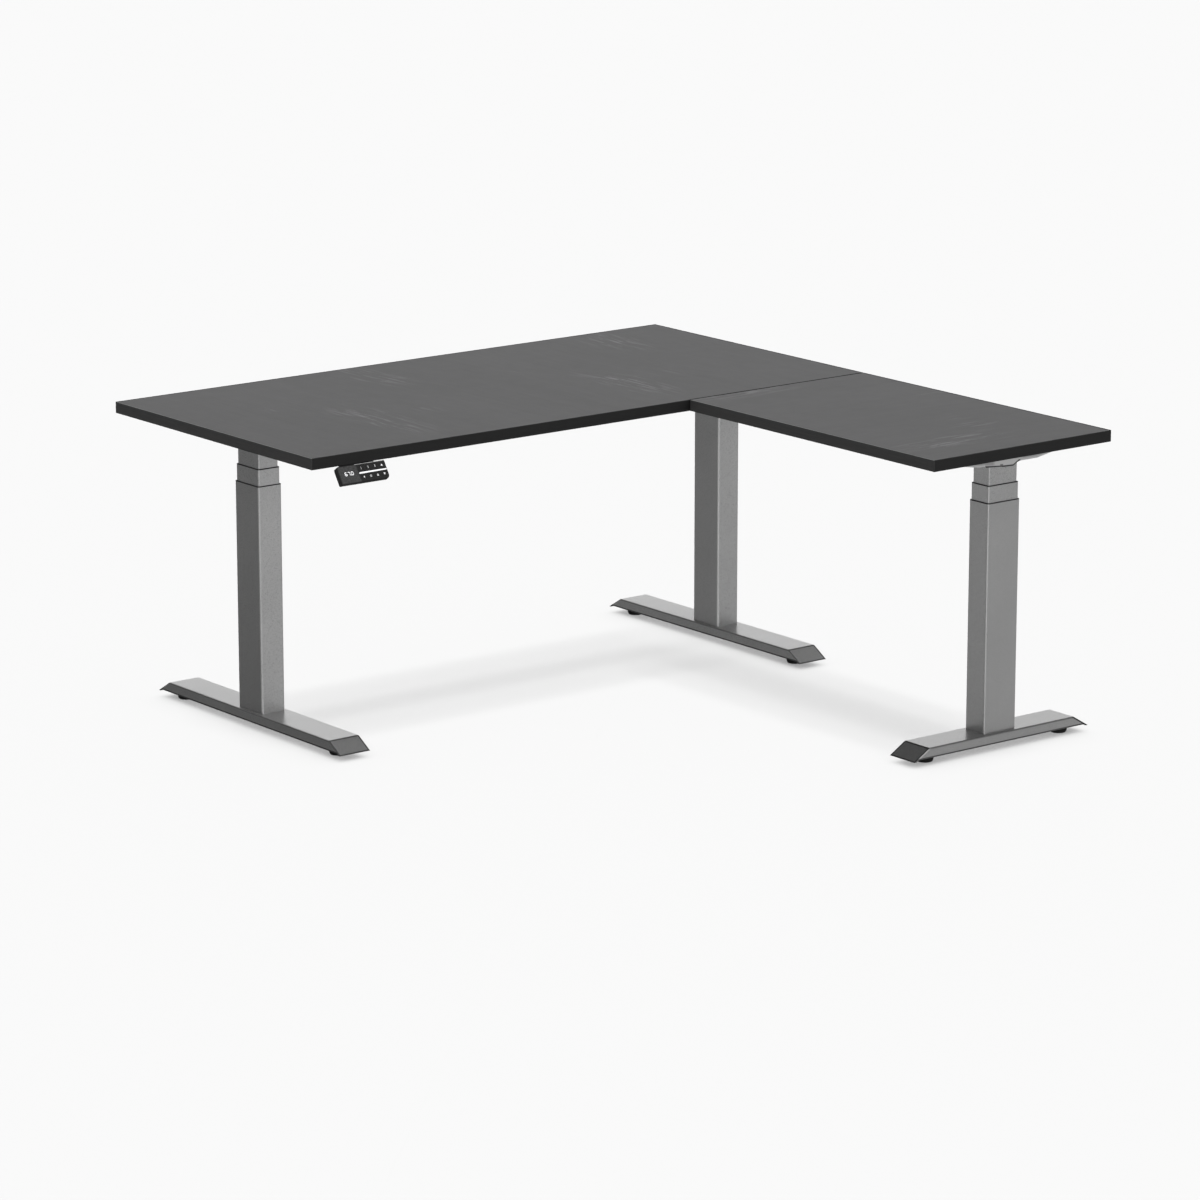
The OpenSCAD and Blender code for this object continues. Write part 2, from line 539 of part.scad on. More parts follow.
// square of side r less a quarter disc; k picks the corner: 0 upper left, 1 upper right, 2 lower right, 3 lower left
module corner_cut(r, k) {
    cx = (k == 0 || k == 3) ? r : 0;
    cy = (k == 0 || k == 1) ? 0 : r;
    difference() {
        translate([cx == 0 ? 0 : -1, cy == 0 ? 0 : -1]) square([r + 1, r + 1]);
        translate([cx, cy]) circle(r);
    }
}
KX = [for (i = [0:3]) 64.2 + i * key_pitch];
KY = [-9.6, -30];
kw = 10.6;
kh = 8.6;
face_t = 2;
hs_side = 5;                        // height of the straight part of the handset's sides
module handset_case() {
    color(dark) difference() {
        union() {
            hs_frame() intersection() {
                translate([0, 0, -hs_t]) linear_extrude(hs_t) leaf(0);
                // bevels all round the back
                translate([0, -hs_h / 2, 0]) across_y(hs_h + 2) polygon([[-1, 1], [hs_w + 1, 1], [hs_w + 1, -hs_side + 1], [hs_w + hs_side - hs_t, -hs_t],
                                                                         [hs_t - hs_side, -hs_t], [-1, -hs_side + 1]]);
                translate([hs_w / 2, 0, 0]) along_x(hs_w + 2) polygon([[1, 1], [1, -hs_side + 1], [hs_side - hs_t, -hs_t],
                                                                       [-hs_h + hs_t - hs_side, -hs_t], [-hs_h - 1, -hs_side + 1], [-hs_h - 1, 1]]);
            }
            // tongue that is screwed under the board
            intersection() {
                box(x_l + hs_x + 24, x_l + hs_x + hs_w - 24, y_seam, y_seam + 40, under - 40, under);
                translate([x_l + hs_x, 0, 0]) rotate([90, 0, 90]) linear_extrude(hs_w)
                    polygon([[y_seam + 3, under], [y_seam + 3, under - 9], [y_seam - 8, under - 26], [y_seam + 2, under - 26], [y_seam + 14, under - 8],
                             [y_seam + 19, under - 4], [y_seam + 40, under - 4], [y_seam + 40, under]]);
            }
            // gland of the handset's lead
            translate([x_l + hs_x + hs_w / 2, y_seam + 29, under - 9]) cylinder(r = 4, h = 6);
        }
        // recess for the face, and the hollow behind it
        hs_frame() translate([0, 0, -face_t]) linear_extrude(face_t + 1) leaf(1.2);
        hs_frame() translate([9, -hs_h + 4, -6.8]) cube([hs_w - 13, hs_h - 8, 6.8]);
        for (s = [-1, 1]) translate([x_l + hs_x + hs_w / 2 + s * 32, y_seam + 30, under - 6]) cylinder(r = 2.5, h = 7);
    }
}
module handset_face() {
    color([0.24, 0.24, 0.25]) hs_frame() difference() {
        translate([0, 0, -face_t]) linear_extrude(face_t) leaf(1.3);
        for (x = KX, y = KY) translate([x, y, -face_t - 1]) linear_extrude(face_t + 2) rr(kw + 0.6, kh + 0.6, 1.3);
    }
}
module key(i, j) {
    color([0.13, 0.13, 0.14]) hs_frame() translate([KX[i], KY[j], 0]) {
        translate([0, 0, -3.4]) linear_extrude(3.5) rr(kw, kh, 1);
        // plunger that reaches the switch
        translate([0, 0, -5.4]) cylinder(r = 1.5, h = 2.5);
    }
}
module key_1() { key(0, 0); }
module key_2() { key(1, 0); }
module key_3() { key(2, 0); }
module key_up() { key(3, 0); }
module key_4() { key(0, 1); }
module key_set() { key(1, 1); }
module key_lock() { key(2, 1); }
module key_down() { key(3, 1); }

// ---------- levellers ----------
module leveller() {
    r = pad_d / 2;
    rotate_extrude() polygon([[0, 0], [r - 4.6, 0], [r - 3, 0.6], [r - 1.8, 1.9], [r - 0.8, 4.4], [r - 0.2, 7.2], [r, 9], [r, 12.4],
                              [r - 2, 14.2], [4, 14.8], [4, 35.2], [3.2, 36], [0, 36]]);
    // hexagon for a spanner
    translate([0, 0, 14.2]) cylinder(r = 8, h = 4.2, $fn = 6);
}
module lev_at(leg, len, s) { at(leg) translate([lev_u(len, s), 0, 0]) leveller(); }
module left_rear_leveller() { color(dark) lev_at(LEG_L, foot_len, 1); }
module left_front_leveller() { color(dark) lev_at(LEG_L, foot_len, -1); }
module corner_rear_leveller() { color(dark) lev_at(LEG_C, foot_len, 1); }
module corner_front_leveller() { color(dark) lev_at(LEG_C, foot_len, -1); }
module return_inner_leveller() { color(dark) lev_at(LEG_R, ret_foot_len, -1); }
module return_outer_leveller() { color(dark) lev_at(LEG_R, ret_foot_len, 1); }

left_foot();
corner_foot();
return_foot();
left_outer_tube();
corner_outer_tube();
return_outer_tube();
outer_collars();
base_nut_posts();
foot_bolts();
left_middle_tube();
corner_middle_tube();
return_middle_tube();
left_middle_collar();
corner_middle_collar();
return_middle_collar();
left_middle_nut_post();
corner_middle_nut_post();
return_middle_nut_post();
left_hollow_screw();
corner_hollow_screw();
return_hollow_screw();
left_drive_screw();
corner_drive_screw();
return_drive_screw();
left_inner_tube();
corner_inner_tube();
return_inner_tube();
left_gear_motor();
corner_gear_motor();
return_gear_motor();
left_top_bracket();
corner_top_bracket();
return_top_bracket();
main_desktop();
return_desktop();
main_rail_front();
main_rail_rear();
return_rail_inner();
return_rail_outer();
control_box_case();
control_box_lid();
control_board();
handset_case();
handset_face();
frame_bolts();
desktop_screws();
left_rear_leveller();
left_front_leveller();
corner_rear_leveller();
corner_front_leveller();
return_inner_leveller();
return_outer_leveller();
key_1();
key_2();
key_3();
key_up();
key_4();
key_set();
key_lock();
key_down();
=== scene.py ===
import math

import bmesh
import bpy
from mathutils import Matrix, Vector


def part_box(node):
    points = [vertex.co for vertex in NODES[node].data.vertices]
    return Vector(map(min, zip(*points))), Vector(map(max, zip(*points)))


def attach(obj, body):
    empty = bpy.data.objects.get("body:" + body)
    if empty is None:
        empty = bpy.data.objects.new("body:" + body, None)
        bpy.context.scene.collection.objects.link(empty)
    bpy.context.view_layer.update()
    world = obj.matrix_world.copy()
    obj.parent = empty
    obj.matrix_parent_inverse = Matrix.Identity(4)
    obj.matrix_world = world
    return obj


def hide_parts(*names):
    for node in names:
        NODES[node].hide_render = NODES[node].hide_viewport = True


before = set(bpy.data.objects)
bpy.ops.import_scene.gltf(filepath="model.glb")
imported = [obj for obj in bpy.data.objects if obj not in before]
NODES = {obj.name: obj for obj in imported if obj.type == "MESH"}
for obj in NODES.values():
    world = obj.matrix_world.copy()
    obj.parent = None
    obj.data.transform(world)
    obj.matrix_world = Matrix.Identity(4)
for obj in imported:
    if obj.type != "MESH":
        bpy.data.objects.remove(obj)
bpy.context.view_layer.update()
scene = bpy.context.scene
scene.view_settings.view_transform = "Standard"
scene.view_settings.look = "None"


# ---------------------------------------------------------------- node helpers
class Mat:
    """A Principled material with a few shortcuts for building its nodes."""

    def __init__(self, name, rough=0.5, metal=0.0, spec=0.5, ior=1.5):
        self.m = bpy.data.materials.new(name)
        self.m.use_nodes = True
        self.t = self.m.node_tree
        self.b = self.t.nodes["Principled BSDF"]
        self.b.inputs["Roughness"].default_value = rough
        self.b.inputs["Metallic"].default_value = metal
        self.b.inputs["Specular IOR Level"].default_value = spec
        self.b.inputs["IOR"].default_value = ior
        self._obj = None

    def n(self, kind, **kw):
        node = self.t.nodes.new(kind)
        for k, v in kw.items():
            setattr(node, k, v)
        return node

    def link(self, a, b):
        self.t.links.new(a, b)

    @property
    def obj(self):
        if self._obj is None:
            self._obj = self.n("ShaderNodeTexCoord").outputs["Object"]
        return self._obj

    def mapped(self, scale, rot=(0, 0, 0), src=None, loc=(0, 0, 0)):
        mp = self.n("ShaderNodeMapping")
        mp.inputs["Scale"].default_value = scale
        mp.inputs["Rotation"].default_value = rot
        mp.inputs["Location"].default_value = loc
        self.link(src or self.obj, mp.inputs["Vector"])
        return mp.outputs["Vector"]

    def noise(self, vec, scale=1.0, detail=2.0, rough=0.5, distort=0.0):
        nn = self.n("ShaderNodeTexNoise")
        nn.inputs["Scale"].default_value = scale
        nn.inputs["Detail"].default_value = detail
        nn.inputs["Roughness"].default_value = rough
        nn.inputs["Distortion"].default_value = distort
        self.link(vec, nn.inputs["Vector"])
        return nn.outputs["Fac"]

    def math(self, op, a, b=None, c=None, clamp=False):
        nn = self.n("ShaderNodeMath", operation=op, use_clamp=clamp)
        for i, v in enumerate((a, b, c)):
            if v is None:
                continue
            if isinstance(v, (int, float)):
                nn.inputs[i].default_value = v
            else:
                self.link(v, nn.inputs[i])
        return nn.outputs[0]

    def ramp(self, fac, stops, mode="LINEAR"):
        r = self.n("ShaderNodeValToRGB")
        r.color_ramp.interpolation = mode
        e = r.color_ramp.elements
        while len(e) < len(stops):
            e.new(0.5)
        for el, (p, c) in zip(e, stops):
            el.position = p
            el.color = c if len(c) == 4 else (*c, 1)
        self.link(fac, r.inputs["Fac"])
        return r.outputs["Color"]

    def mix(self, fac, a, b, kind="MIX"):
        mx = self.n("ShaderNodeMix", data_type="RGBA", blend_type=kind)
        for name, v in (("Factor", fac), ("A", a), ("B", b)):
            sock = [s for s in mx.inputs if s.name == name and s.type == ("VALUE" if name == "Factor" else "RGBA")][0]
            if isinstance(v, (int, float)):
                sock.default_value = v
            elif isinstance(v, tuple):
                sock.default_value = v if len(v) == 4 else (*v, 1)
            else:
                self.link(v, sock)
        return [s for s in mx.outputs if s.type == "RGBA"][0]

    def remap(self, v, a, b, c, d, clamp=True):
        nn = self.n("ShaderNodeMapRange", clamp=clamp)
        self.link(v, nn.inputs[0])
        for i, x in enumerate((a, b, c, d)):
            nn.inputs[i + 1].default_value = x
        return nn.outputs[0]

    def sep(self, vec):
        s = self.n("ShaderNodeSeparateXYZ")
        self.link(vec, s.inputs[0])
        return s.outputs

    def normal(self):
        return self.sep(self.n("ShaderNodeTexCoord").outputs["Normal"])

    def bump(self, height, strength, dist, normal=None):
        b = self.n("ShaderNodeBump")
        b.inputs["Strength"].default_value = strength
        b.inputs["Distance"].default_value = dist
        self.link(height, b.inputs["Height"])
        if normal is not None:
            self.link(normal, b.inputs["Normal"])
        return b.outputs["Normal"]

    def color(self, sock):
        self.link(sock, self.b.inputs["Base Color"])

    def rough(self, sock):
        self.link(sock, self.b.inputs["Roughness"])

    def set_normal(self, sock):
        self.link(sock, self.b.inputs["Normal"])


def lin(v):
    """sRGB 0-255 grey to a linear value."""
    v /= 255.0
    return v / 12.92 if v <= 0.04045 else ((v + 0.055) / 1.055) ** 2.4


def grey(v, tint=(1, 1, 1)):
    g = lin(v)
    return (g * tint[0], g * tint[1], g * tint[2])


# ---------------------------------------------------------------- materials
def laminate(name, grain):
    """Dark grey wood-grain laminate. grain is 'Y' or 'X', the way the figure runs."""
    m = Mat(name, rough=0.42, spec=0.2)
    turn = 0.0 if grain == "Y" else math.pi / 2
    base = m.mapped((1, 1, 1), rot=(0, 0, turn))
    # the figure wanders, so its coordinates are bent by a slow noise
    wob = m.n("ShaderNodeTexNoise")
    wob.inputs["Scale"].default_value = 2.2
    wob.inputs["Detail"].default_value = 1.5
    m.link(base, wob.inputs["Vector"])
    wv = m.n("ShaderNodeVectorMath", operation="MULTIPLY_ADD")
    m.link(wob.outputs["Color"], wv.inputs[0])
    wv.inputs[1].default_value = (0.055, 0.0, 0.0)
    m.link(base, wv.inputs[2])
    bent = wv.outputs[0]
    fibre = m.noise(m.mapped((520, 9, 520), src=bent), detail=3, rough=0.6)
    pores = m.noise(m.mapped((1500, 42, 1500), src=bent), detail=1, rough=0.5)
    bands = m.noise(m.mapped((26, 1.1, 26), src=bent), detail=3, rough=0.55)
    cloud = m.noise(base, scale=3.3, detail=2)
    # clusters of lighter veins, which repeat along X as the decor's print does
    bx, by, bz = m.sep(bent)
    cell = m.math("WRAP", m.math("ADD", bx, LAM[grain][0]), 0.335, -0.335)
    masks = None
    for cx, cy, rx, ry, amount in LAM[grain][1]:
        dx = m.math("DIVIDE", m.math("SUBTRACT", cell, cx), rx)
        dy = m.math("DIVIDE", m.math("SUBTRACT", by, cy), ry)
        d = m.math("SQRT", m.math("ADD", m.math("MULTIPLY", dx, dx), m.math("MULTIPLY", dy, dy)))
        k = m.remap(d, 0.15, 1.0, amount, 0.0)
        masks = k if masks is None else m.math("MAXIMUM", masks, k)
    vein = m.noise(m.mapped((95, 11, 95), src=bent), detail=4, rough=0.65, distort=0.35)
    vein = m.remap(vein, 0.50, 0.63, 0.0, 1.0)
    veins = m.math("MULTIPLY", vein, masks)
    blot = m.noise(base, scale=24, detail=3)
    v = m.remap(bands, 0.3, 0.7, -0.03, 0.03, clamp=False)
    v = m.math("ADD", v, m.remap(fibre, 0.3, 0.7, -0.035, 0.035, clamp=False))
    v = m.math("ADD", v, m.remap(cloud, 0.3, 0.7, -0.03, 0.03, clamp=False))
    v = m.math("ADD", v, m.remap(blot, 0.3, 0.7, -0.035, 0.035, clamp=False))
    v = m.math("ADD", v, m.math("MULTIPLY", veins, 1.0))
    v = m.math("SUBTRACT", v, m.math("MULTIPLY", m.remap(pores, 0.62, 0.75, 0, 1), 0.08))
    v = m.math("ADD", v, 1.0)
    top = m.mix(1.0, m.ramp(m.math("MULTIPLY", v, 0.4), [(0.0, (0, 0, 0)), (1.0, (TOPC[0] * 2.5, TOPC[1] * 2.5, TOPC[2] * 2.5))]), (1, 1, 1), "MULTIPLY")
    # edge band: plain and darker; its left and right faces are painted lighter than its front and back faces, painted
    # light and shade by face direction
    nx, ny, nz = m.normal()
    ax = m.math("ABSOLUTE", nx)
    edge_noise = m.noise(m.mapped((14, 14, 900)), detail=2)
    edge = m.mix(ax, EDGE_Y_PAINTED_TONE, EDGE_X_PAINTED_TONE)
    edge = m.mix(m.remap(edge_noise, 0.3, 0.7, 0.0, 0.22), edge, (0.0, 0.0, 0.0))
    # underside: plain backing sheet
    back_n = m.noise(m.obj, scale=160, detail=4)
    back = m.ramp(back_n, [(0.3, grey(58)), (0.7, grey(66))])
    up = m.remap(nz, 0.75, 0.9, 0.0, 1.0)
    dn = m.remap(nz, -0.9, -0.75, 1.0, 0.0)
    # painted light on the upper arrises: a painted highlight on the left and right ones, a painted mid grey for the
    # shade of the front and back ones
    arris = m.math("MULTIPLY", m.remap(nz, 0.45, 0.6, 0.0, 1.0), m.remap(nz, 0.8, 0.9, 1.0, 0.0))
    col = m.mix(up, edge, top)
    col = m.mix(dn, col, back)
    col = m.mix(arris, col, m.mix(ax, ARRIS, ARRIS_X_PAINTED_HIGHLIGHT))
    # the lower arris is painted dark, a painted shade under the edge, and made dull; the two boards' arrises meet in a
    # dark joint
    low = m.math("MULTIPLY", m.remap(nz, -0.85, -0.75, 0.0, 1.0), m.remap(nz, -0.35, -0.2, 1.0, 0.0))
    col = m.mix(low, col, grey(14))
    px, py, pz = m.sep(m.obj)
    # painted shade: a dark line along the top's far edges
    far = m.math("MAXIMUM", m.remap(py, FAR_Y - 0.0062, FAR_Y - 0.0048, 0.0, 1.0), m.remap(px, FAR_X - 0.0062, FAR_X - 0.0048, 0.0, 1.0))
    far = m.math("MULTIPLY", far, m.remap(nz, 0.2, 0.4, 0.0, 1.0))
    col = m.mix(far, col, grey(18))
    joint = m.math("MULTIPLY", m.remap(m.math("ABSOLUTE", m.math("SUBTRACT", py, SEAM_Y)), 0.0026, 0.0032, 1.0, 0.0), m.remap(px, SEAM_X, SEAM_X + 0.001, 0.0, 1.0))
    col = m.mix(joint, col, (0.0015, 0.0015, 0.0015))
    m.color(col)
    dull = m.math("MAXIMUM", m.math("MAXIMUM", low, joint), far)
    m.link(m.remap(dull, 0.0, 1.0, 0.2, 0.02), m.b.inputs["Specular IOR Level"])
    r = m.remap(fibre, 0.3, 0.7, ROUGH_TOP - 0.04, ROUGH_TOP + 0.04)
    r = m.math("ADD", r, m.remap(up, 0, 1, 0.06, 0.0))
    m.rough(r)
    h = m.math("ADD", m.math("MULTIPLY", fibre, 0.6), m.math("MULTIPLY", pores, 0.4))
    m.set_normal(m.bump(h, 0.12, 0.0002))
    return m.m


def powder(name, c, tint=(1.0, 1.0, 1.0), rough=0.46, metal=0.0, spec=0.5, shade=None):
    """Powder coat: fine orange peel, faint mottling, a hint of metal flake."""
    m = Mat(name, rough=rough, metal=metal, spec=spec)
    peel = m.noise(m.obj, scale=900, detail=2, rough=0.5)
    flake = m.noise(m.obj, scale=4200, detail=1)
    mott = m.noise(m.obj, scale=9, detail=3)
    g = lin(c)
    v = m.math("ADD", m.remap(mott, 0.3, 0.7, 0.965, 1.035, clamp=False), m.remap(flake, 0.35, 0.65, -0.06, 0.06))
    # shade multiplies in painted light and shade
    if shade is not None:
        v = m.math("MULTIPLY", v, shade(m))
    col = m.ramp(m.math("MULTIPLY", v, 0.5), [(0.0, (0, 0, 0)), (1.0, (g * 2 * tint[0], g * 2 * tint[1], g * 2 * tint[2]))])
    m.color(col)
    m.rough(m.remap(peel, 0.3, 0.7, rough - 0.05, rough + 0.05))
    m.set_normal(m.bump(peel, 0.10, 0.0003))
    return m.m


def plastic(name, c, rough=0.5, grain=1400, strength=0.15, tint=(1, 1, 1)):
    """Moulded plastic with a fine spark-eroded texture."""
    m = Mat(name, rough=rough)
    v = m.n("ShaderNodeTexVoronoi")
    v.inputs["Scale"].default_value = grain
    m.link(m.obj, v.inputs["Vector"])
    cl = m.noise(m.obj, scale=60, detail=3)
    g = lin(c)
    m.color(m.ramp(cl, [(0.25, (g * 0.86 * tint[0], g * 0.86 * tint[1], g * 0.86 * tint[2])), (0.75, (g * 1.14 * tint[0], g * 1.14 * tint[1], g * 1.14 * tint[2]))]))
    m.rough(m.remap(v.outputs["Distance"], 0.0, 0.8, rough + 0.05, rough - 0.05))
    m.set_normal(m.bump(v.outputs["Distance"], strength, 0.0001))
    return m.m


def metal(name, c, rough=0.3, brushed=(40, 40, 900), tint=(1, 1, 1)):
    """Plated or rolled steel with fine drawn lines and small stains."""
    m = Mat(name, rough=rough, metal=1.0)
    lines = m.noise(m.mapped(brushed), detail=2)
    st = m.noise(m.obj, scale=45, detail=4)
    g = lin(c)
    lo = (g * 0.82 * tint[0], g * 0.82 * tint[1], g * 0.82 * tint[2])
    hi = (g * 1.1 * tint[0], g * 1.1 * tint[1], g * 1.1 * tint[2])
    m.color(m.mix(m.remap(st, 0.3, 0.7, 0.0, 0.35), m.ramp(lines, [(0.3, lo), (0.7, hi)]), lo))
    m.rough(m.remap(lines, 0.3, 0.7, rough - 0.06, rough + 0.1))
    m.set_normal(m.bump(lines, 0.08, 0.0002))
    return m.m


TOPC = grey(92, (1.0, 1.0, 1.012))
# the edge band's left and right faces are painted lighter than its front and back ones: painted light and shade
EDGE_X_PAINTED_TONE = grey(80)        # edges that face left or right
EDGE_Y_PAINTED_TONE = grey(30)        # edges that face front or back
# painted tone of the front and back upper arrises
ARRIS = grey(66)
ROUGH_TOP = 0.58
# offset of the repeat, and its clusters of veins: centre and half size, across and along the figure
LAM = {"Y": (0.75 - 0.37, [(0.0, 0.27, 0.075, 0.21, 1.0), (0.27, 0.66, 0.07, 0.16, 0.9), (-0.12, 0.50, 0.03, 0.05, 0.35), (0.14, 0.30, 0.05, 0.06, 0.3)]),
       "X": (-0.655, [(0.015, 0.41, 0.062, 0.21, 1.0), (-0.075, 0.56, 0.03, 0.07, 0.8), (0.285, 0.715, 0.03, 0.07, 0.5), (-0.14, 0.57, 0.025, 0.06, 0.45)])}

# painted highlight on the left and right upper arrises
ARRIS_X_PAINTED_HIGHLIGHT = grey(165)
SEAM_X, SEAM_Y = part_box("return_desktop")[0][0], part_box("main_desktop")[0][1]
FAR_X, FAR_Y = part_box("main_desktop")[1][0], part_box("main_desktop")[1][1]

M_TOP_Y = laminate("laminate_main", "Y")
M_TOP_X = laminate("laminate_return", "X")


def column_painted_light(low, high, front, corner):
    """Painted light on a column's coat: painted a little lighter towards the top, with a painted highlight along its
    front left corner.
    Its left faces are painted from low to high besides, and its front faces by front."""
    def build(m):
        z = m.sep(m.obj)[2]
        side = m.remap(m.normal()[0], -0.97, -0.80, 1.0, 0.0)
        k = m.math("MULTIPLY_ADD", side, m.remap(z, 0.06, 0.46, low - 1.0, high - 1.0), 1.0)
        k = m.math("MULTIPLY_ADD", m.remap(m.normal()[1], -0.97, -0.80, front - 1.0, 0.0), 1.0, k)
        fold = m.math("MULTIPLY", m.remap(m.normal()[0], -0.94, -0.86, 0.0, 1.0), m.remap(m.normal()[0], -0.50, -0.36, 1.0, 0.0))
        k = m.math("MULTIPLY", k, m.math("MULTIPLY_ADD", fold, corner, 1.0))
        return m.math("MULTIPLY", m.remap(z, 0.04, 0.62, 0.975, 1.085), k)
    return build


# painted tones per foot: its left-facing walls, its end plates and its top
FOOT_SIDE_PAINTED_TONE = {"left_foot": 0.81, "corner_foot": 1.20, "return_foot": 1.0}
FOOT_END_PAINTED_TONE = {"left_foot": 1.12, "corner_foot": 1.06, "return_foot": 1.0}
FOOT_TOP_PAINTED_TONE = {"left_foot": 0.97, "corner_foot": 0.91, "return_foot": 0.90}


def foot_painted_light(node):
    """Painted shade along a foot's arrises and along the lower edges of its walls; its left walls, end plates and top
    get painted tones of their own per foot, and the end plates' edges on the side walls a painted highlight at one end
    and painted shade at the other.
    """
    lo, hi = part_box(node)
    cx, cy = (lo[0] + hi[0]) / 2, (lo[1] + hi[1]) / 2
    along_x = hi[0] - lo[0] > hi[1] - lo[1]
    half = (hi[0] - lo[0]) / 2 if along_x else (hi[1] - lo[1]) / 2
    side_half = (hi[1] - lo[1]) / 2 if along_x else (hi[0] - lo[0]) / 2
    top_z, low_z = hi[2], lo[2]
    run = 0.0425

    def build(m):
        px, py, pz = m.sep(m.obj)
        nx, ny, nz = m.normal()
        u = m.math("SUBTRACT", px, cx) if along_x else m.math("SUBTRACT", py, cy)
        v = m.math("SUBTRACT", py, cy) if along_x else m.math("SUBTRACT", px, cx)
        au, av = m.math("ABSOLUTE", u), m.math("ABSOLUTE", v)
        slope = m.math("MULTIPLY", m.remap(nz, 0.62, 0.72, 0.0, 1.0), m.remap(nz, 0.90, 0.95, 1.0, 0.0))
        line = m.math("MAXIMUM", m.remap(av, side_half - 0.0042, side_half - 0.0030, 0.0, 1.0), m.remap(pz, top_z - 0.0024, top_z - 0.0018, 0.0, 1.0))
        line = m.math("MAXIMUM", line, m.remap(pz, low_z + 0.0018, low_z + 0.0024, 1.0, 0.0))
        wall = m.remap(m.math("ABSOLUTE", nz), 0.35, 0.6, 1.0, 0.0)
        wline = m.math("MAXIMUM", m.remap(pz, top_z - 0.0034, top_z - 0.0026, 0.0, 1.0), m.math("MULTIPLY", m.remap(pz, low_z + 0.0063, low_z + 0.0071, 1.0, 0.0), 1.7))
        out = m.math("SUBTRACT", 1.0, m.math("MULTIPLY", m.math("MULTIPLY", line, slope), 0.62))
        out = m.math("SUBTRACT", out, m.math("MULTIPLY", m.math("MULTIPLY", wline, wall), 0.45))
        left_wall = m.remap(nx, -0.97, -0.80, 1.0, 0.0)
        out = m.math("MULTIPLY", out, m.math("MULTIPLY_ADD", left_wall, FOOT_SIDE_PAINTED_TONE[node] - 1.0, 1.0))
        out = m.math("MULTIPLY", out, m.math("MULTIPLY_ADD", slope, FOOT_END_PAINTED_TONE[node] - 1.0, 1.0))
        out = m.math("MULTIPLY", out, m.math("MULTIPLY_ADD", m.remap(nz, 0.95, 0.99, 0.0, 1.0), FOOT_TOP_PAINTED_TONE[node] - 1.0, 1.0))
        if along_x:
            # the end plates' own edges, seen on the side walls: a painted highlight at one end, painted shade at the
            # other
            rim = m.math("MULTIPLY_ADD", m.math("SUBTRACT", top_z, pz), run / (top_z - low_z), half - run)
            d = m.math("MULTIPLY", m.math("SUBTRACT", rim, au), 0.514)
            edge = m.math("MULTIPLY", m.remap(d, 0.0030, 0.0038, 1.0, 0.0), wall)
            right = m.remap(u, -0.001, 0.001, 0.0, 1.0)
            out = m.math("MULTIPLY", out, m.math("SUBTRACT", 1.0, m.math("MULTIPLY", m.math("MULTIPLY", edge, right), 0.86)))
            left = m.math("MULTIPLY", edge, m.math("SUBTRACT", 1.0, right))
            out = m.math("MULTIPLY", out, m.math("MULTIPLY_ADD", left, 0.65, 1.0))
        return out
    return build


# painted light per leg: the left faces' tone low and high, the front faces' tone, the corner highlight
SIDE = {"left": (0.84, 1.0, 1.07, 0.0), "corner": (1.06, 1.06, 0.99, 0.05), "return": (0.93, 0.87, 1.03, 0.16)}


def channel_painted_light(node):
    """The channel is painted lighter along its rim and darker higher up, a painted shade under the desk, and a painted
    dark shadow line follows the rim of the hub over the column.
    """
    lo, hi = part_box(node)
    cx, top = (lo[0] + hi[0]) / 2, hi[2]

    def build(m):
        px, py, pz = m.sep(m.obj)
        u = m.math("SUBTRACT", px, cx)
        hub = m.remap(u, 0.014, 0.030, 0.0086, 0.0, clamp=False)
        for a, b, c, d in ((-0.014, 0.014, 0.0074, 0.0086), (-0.062, -0.014, 0.0029, 0.0074), (-0.067, -0.062, 0.0, 0.0029)):
            hub = m.math("MINIMUM", hub, m.remap(u, a, b, c, d, clamp=False))
        hub = m.math("MAXIMUM", hub, 0.0)
        depth = m.math("ADD", m.remap(m.math("ABSOLUTE", u), 0.082, 0.158, 0.020, 0.007), hub)
        d = m.math("SUBTRACT", depth, m.math("SUBTRACT", top, pz))
        inside = m.math("MULTIPLY", m.remap(u, -0.066, -0.063, 0.0, 1.0), m.remap(u, 0.033, 0.036, 1.0, 0.0))
        line = m.math("MULTIPLY", m.remap(d, 0.0030, 0.0037, 1.0, 0.0), inside)
        # painted shade at the small fold of the hub's left shoulder
        fold = m.math("MULTIPLY", m.remap(m.math("ABSOLUTE", m.math("ADD", u, 0.0185)), 0.0035, 0.005, 1.0, 0.0), m.remap(d, 0.0060, 0.0072, 1.0, 0.0))
        line = m.math("MAXIMUM", line, m.math("MULTIPLY", fold, 0.7))
        wing = m.remap(m.math("ABSOLUTE", u), 0.036, 0.044, 0.0, 1.0)
        out = m.math("MULTIPLY_ADD", m.math("MULTIPLY", wing, m.remap(d, 0.003, 0.006, 0.0, 1.0)), -0.35, 1.0)
        out = m.math("MULTIPLY", out, m.math("MULTIPLY_ADD", line, -0.90, 1.0))
        return out
    return build


# the return bracket's coat is a lighter copy of the channel coat, for painted light, and carries painted light and
# shade
M_CHANNEL = powder("powder_coat_channel", 150, rough=0.34, metal=0.5)
M_CHANNEL_R = powder("powder_coat_return_channel", 188, rough=0.34, metal=0.5, shade=channel_painted_light("return_top_bracket"))
M_UNDER = powder("powder_coat_frame", 92, rough=0.5)
M_COLLAR = plastic("guide_plastic", 54, rough=0.42)
M_RUBBER = plastic("glide_rubber", 9, rough=0.7, grain=900, strength=0.3)
M_RUBBER.node_tree.nodes["Principled BSDF"].inputs["Specular IOR Level"].default_value = 0.2
M_ZINC = metal("zinc_plate", 190, rough=0.32, brushed=(300, 300, 300))
M_SCREW = metal("rolled_steel", 150, rough=0.28, brushed=(40, 40, 2000))
M_MOTOR = powder("motor_enamel", 52, rough=0.4)
M_BLACK = plastic("box_plastic", 34, rough=0.5)
